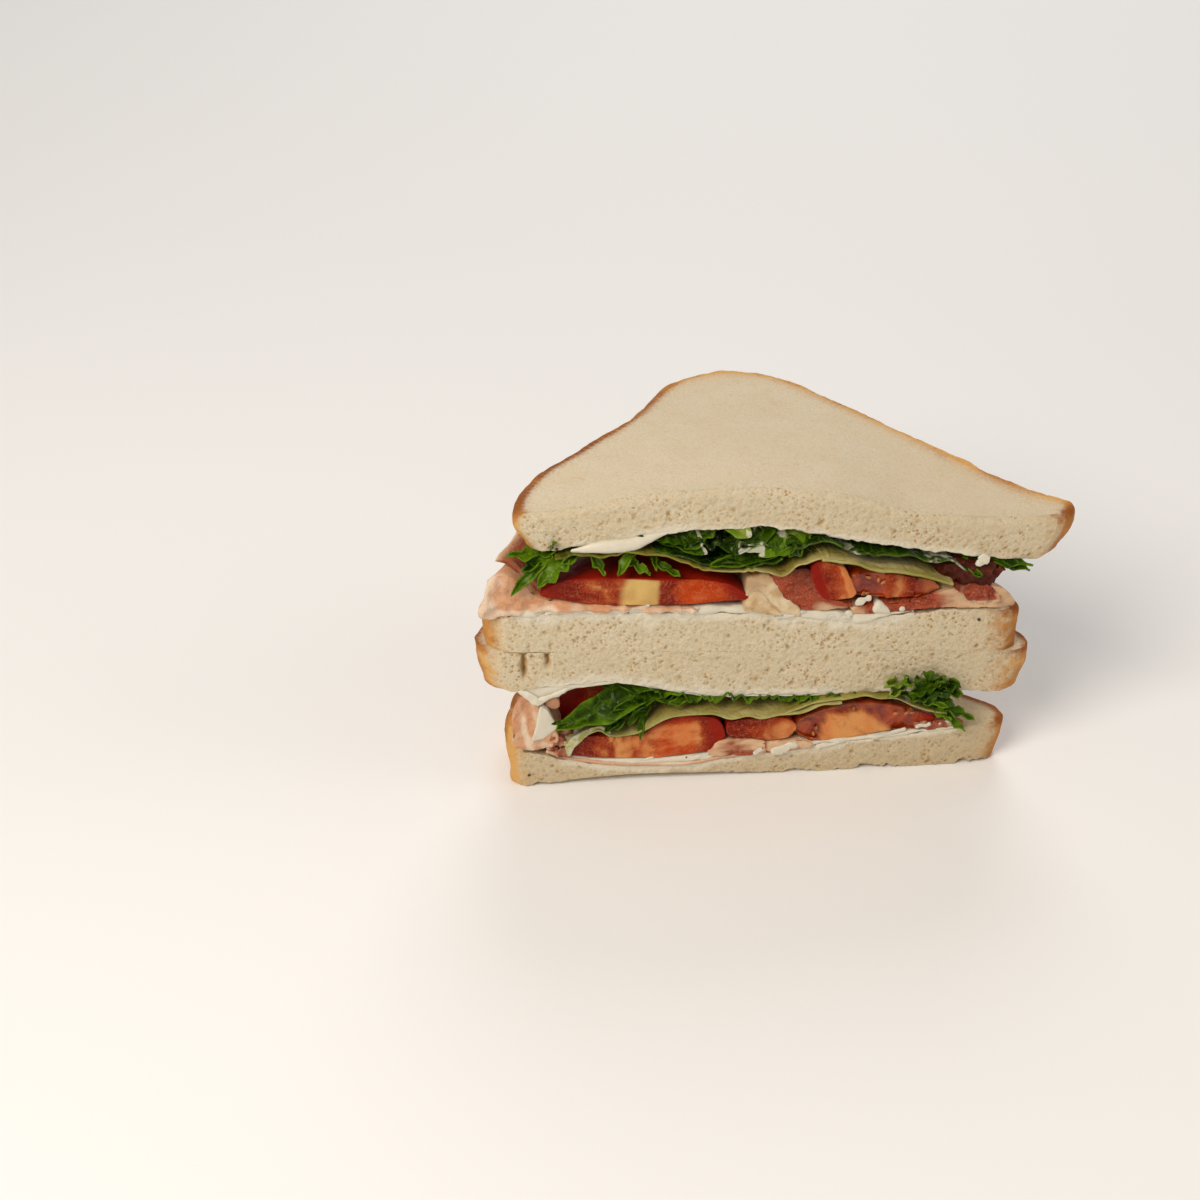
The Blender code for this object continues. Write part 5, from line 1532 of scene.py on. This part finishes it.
class BreadSettings(bpy.types.PropertyGroup):
    """Sizes and colours of the bread."""

    hole_spacing: bpy.props.FloatProperty(
        name="Hole spacing", description="Distance between large holes in the crumb, in mm",
        default=1.9, min=1.0, max=8.0)
    hole_size: bpy.props.FloatProperty(
        name="Hole size", description="Radius of the largest holes in the crumb, in mm",
        default=0.85, min=0.2, max=3.0)
    face_colour: bpy.props.FloatVectorProperty(
        name="Face", description="Colour of the uncut face of a slice", default=linear("D2C2A2"),
        **COLOUR)
    crumb_colour: bpy.props.FloatVectorProperty(
        name="Crumb", description="Colour of the cut crumb", default=linear("CEC0A0"),
        **COLOUR)
    crust_colour: bpy.props.FloatVectorProperty(
        name="Crust", description="Colour of the baked crust", default=linear("B57A36"),
        **COLOUR)


class FillingSettings(bpy.types.PropertyGroup):
    """Colours of the fillings."""

    tomato_flesh: bpy.props.FloatVectorProperty(
        name="Tomato flesh", description="Colour of ripe tomato flesh", default=linear("A03A12"),
        **COLOUR)
    tomato_skin: bpy.props.FloatVectorProperty(
        name="Tomato skin", description="Colour of the tomato's skin", default=linear("86140A"),
        **COLOUR)
    ham: bpy.props.FloatVectorProperty(
        name="Ham", description="Colour of the ham's lean", default=linear("D6A57E"),
        **COLOUR)
    bacon: bpy.props.FloatVectorProperty(
        name="Bacon", description="Colour of the bacon's lean", default=linear("A84C30"),
        **COLOUR)
    turkey: bpy.props.FloatVectorProperty(
        name="Turkey", description="Colour of the turkey slice", default=linear("CDB084"),
        **COLOUR)
    mayonnaise: bpy.props.FloatVectorProperty(
        name="Mayonnaise", description="Colour of the mayonnaise", default=linear("D4CEB8"),
        **COLOUR)
    lettuce: bpy.props.FloatVectorProperty(
        name="Lettuce", description="Colour of the lettuce's green blade", default=linear("365204"),
        **COLOUR)
    pale_leaf: bpy.props.FloatVectorProperty(
        name="Pale leaf", description="Colour of the smooth pale blade", default=linear("686A1C"),
        **COLOUR)


class StageSettings(bpy.types.PropertyGroup):
    """Floor, light and camera."""

    floor_colour: bpy.props.FloatVectorProperty(
        name="Floor", description="Colour of the floor", default=linear("F2F1EF"),
        **COLOUR)
    key_power: bpy.props.FloatProperty(
        name="Key light", description="Power of the large light, in watts", subtype="POWER",
        default=8.8, min=0.0)


# ------------------------------------------------------------------ operators
class SANDWICH_OT_bread(bpy.types.Operator):
    """Make the four slices of bread"""

    bl_idname = "sandwich.bread"
    bl_label = "Bread"

    def execute(self, context):
        settings = context.scene.sandwich_bread
        material = white_bread(settings)
        for name, shape in SLICES.items():
            bread_slice(name, settings, material, **shape)
        return {"FINISHED"}


class SANDWICH_OT_meats(bpy.types.Operator):
    """Make the ham, the turkey and the bacon"""

    bl_idname = "sandwich.meats"
    bl_label = "Ham, turkey and bacon"

    def execute(self, context):
        settings = context.scene.sandwich_filling
        ham = sliced_meat("boiled_ham_sliced", "D0946A", settings.ham, "E6CDB2", "A05A40", 3.0, 0.27)
        bacon = sliced_meat("back_bacon_cooked", "86301A", settings.bacon, "D8B48E", "43160A", 2.2, 0.3)
        turkey = sliced_meat("roast_turkey_sliced", "C49A68", settings.turkey, "DECBA8", "94602F", 2.4,
            0.32)
        upper_meats(ham, bacon, turkey)
        lower_meats(ham, bacon)
        return {"FINISHED"}


class SANDWICH_OT_tomatoes(bpy.types.Operator):
    """Make the pieces of tomato and their seeds"""

    bl_idname = "sandwich.tomatoes"
    bl_label = "Tomatoes"

    def execute(self, context):
        material = tomato_flesh(context.scene.sandwich_filling)
        upper_tomatoes(material)
        lower_tomatoes(material)
        tomato_seeds(material)
        return {"FINISHED"}


class SANDWICH_OT_lettuce(bpy.types.Operator):
    """Make the lettuce leaves"""

    bl_idname = "sandwich.lettuce"
    bl_label = "Lettuce"

    def execute(self, context):
        settings = context.scene.sandwich_filling
        lettuce = fresh_leaf("curly_lettuce_torn", "122602", "5A7A0C", "98A24C", settings.lettuce)
        pale_leaf = fresh_leaf("lettuce_rib_pressed", "4A4C10", "8A7E34", "BCAC72", settings.pale_leaf)
        upper_leaves(lettuce, pale_leaf)
        lower_leaves(lettuce, pale_leaf)
        return {"FINISHED"}


class SANDWICH_OT_mayonnaise(bpy.types.Operator):
    """Spread the mayonnaise"""

    bl_idname = "sandwich.mayonnaise"
    bl_label = "Mayonnaise"

    def execute(self, context):
        material = thick_mayonnaise(context.scene.sandwich_filling)
        upper_mayonnaise(material)
        lower_mayonnaise(material)
        return {"FINISHED"}


class SANDWICH_OT_specks(bpy.types.Operator):
    """Scatter the black pepper"""

    bl_idname = "sandwich.specks"
    bl_label = "Black pepper"

    def execute(self, context):
        black_pepper()
        return {"FINISHED"}


FLOOR_HALF = 6.0
LAMP_TARGET = (0.0, 0.0, 0.05)
CAMERA_AT, CAMERA_TARGET = (-0.09582, -0.57710, 0.43015), (-0.0497, -0.0402, 0.06667)
FOCAL_LENGTH = 68.25


def facing(name, data, at, target):
    """Add a lamp or a camera at a place, turned to a target."""
    obj = bpy.data.objects.new(name, data)
    obj.location = at
    obj.rotation_euler = (Vector(target) - Vector(at)).to_track_quat("-Z", "Y").to_euler()
    bpy.context.scene.collection.objects.link(obj)
    return obj


class SANDWICH_OT_stage(bpy.types.Operator):
    """Make the floor, the lights and the camera"""

    bl_idname = "sandwich.stage"
    bl_label = "Stage"

    def execute(self, context):
        settings = context.scene.sandwich_stage
        scene = context.scene
        material, node, place = blank_material("painted_floor")
        cloudy = node("TexNoise", {"Vector": place, "Scale": 3.0, "Detail": 2.0})
        tone = node("Mix", {0: cloudy, 6: settings.floor_colour, 7: linear("F5F4F2")}, **RGBA)
        shader = node("BsdfPrincipled", {"Base Color": tone, "Roughness": 0.7})
        node("OutputMaterial", {"Surface": shader})
        mesh = bpy.data.meshes.new("floor")
        corners = [(-1, -1), (1, -1), (1, 1), (-1, 1)]
        mesh.from_pydata([(x * FLOOR_HALF, y * FLOOR_HALF, 0) for x, y in corners], [],
                         [(0, 1, 2, 3)])
        mesh.materials.append(material)
        floor = bpy.data.objects.new("floor", mesh)
        scene.collection.objects.link(floor)
        lamps = (("key", (-0.55, -0.58, 0.82), settings.key_power, 0.6, "FFF5EA"),
                 ("fill", (1.5, -0.25, 0.55), settings.key_power * 0.75, 1.2, "FFF6EE"),
                 ("back", (0.2, 1.2, 1.0), settings.key_power * 0.8, 1.0, "FFFFFF"))
        for name, at, power, size, tint in lamps:
            light = bpy.data.lights.new(name, "AREA")
            light.shape = "DISK"
            light.size = size
            light.energy = power
            light.color = linear(tint)[:3]
            facing(name, light, at, LAMP_TARGET)
        world = bpy.data.worlds.new("studio")
        world.use_nodes = True
        background = world.node_tree.nodes["Background"]
        background.inputs["Color"].default_value = linear("FFFDFA")
        background.inputs["Strength"].default_value = 0.30
        scene.world = world
        lens = bpy.data.cameras.new("camera")
        lens.lens = FOCAL_LENGTH
        lens.clip_start = 0.01
        scene.camera = facing("camera", lens, CAMERA_AT, CAMERA_TARGET)
        scene.view_settings.view_transform = "Standard"
        return {"FINISHED"}


class SANDWICH_PT_panel(bpy.types.Panel):
    """Lists the sandwich's pieces"""

    bl_idname = "SANDWICH_PT_panel"
    bl_label = "Sandwich"
    bl_space_type = "VIEW_3D"
    bl_region_type = "UI"
    bl_category = "Sandwich"

    def draw(self, context):
        for operator in OPERATORS:
            self.layout.operator(operator.bl_idname)
        for group in GROUPS:
            settings = getattr(context.scene, group)
            for name in settings.bl_rna.properties.keys():
                if name not in ("rna_type", "name"):
                    self.layout.prop(settings, name)


GROUPS = {"sandwich_bread": BreadSettings, "sandwich_filling": FillingSettings,
          "sandwich_stage": StageSettings}
OPERATORS = (SANDWICH_OT_stage, SANDWICH_OT_bread, SANDWICH_OT_meats, SANDWICH_OT_tomatoes,
             SANDWICH_OT_mayonnaise, SANDWICH_OT_lettuce, SANDWICH_OT_specks)


def register():
    """Register the settings, the operators and the panel."""
    for name, group in GROUPS.items():
        bpy.utils.register_class(group)
        setattr(bpy.types.Scene, name, bpy.props.PointerProperty(type=group))
    for operator in OPERATORS:
        bpy.utils.register_class(operator)
    bpy.utils.register_class(SANDWICH_PT_panel)


def unregister():
    """Take back all that register added."""
    bpy.utils.unregister_class(SANDWICH_PT_panel)
    for operator in reversed(OPERATORS):
        bpy.utils.unregister_class(operator)
    for name, group in GROUPS.items():
        delattr(bpy.types.Scene, name)
        bpy.utils.unregister_class(group)


def main():
    """Make every piece."""
    register()
    for operator in OPERATORS:
        group, call = operator.bl_idname.split(".")
        getattr(getattr(bpy.ops, group), call)()


if __name__ == "__main__":
    main()
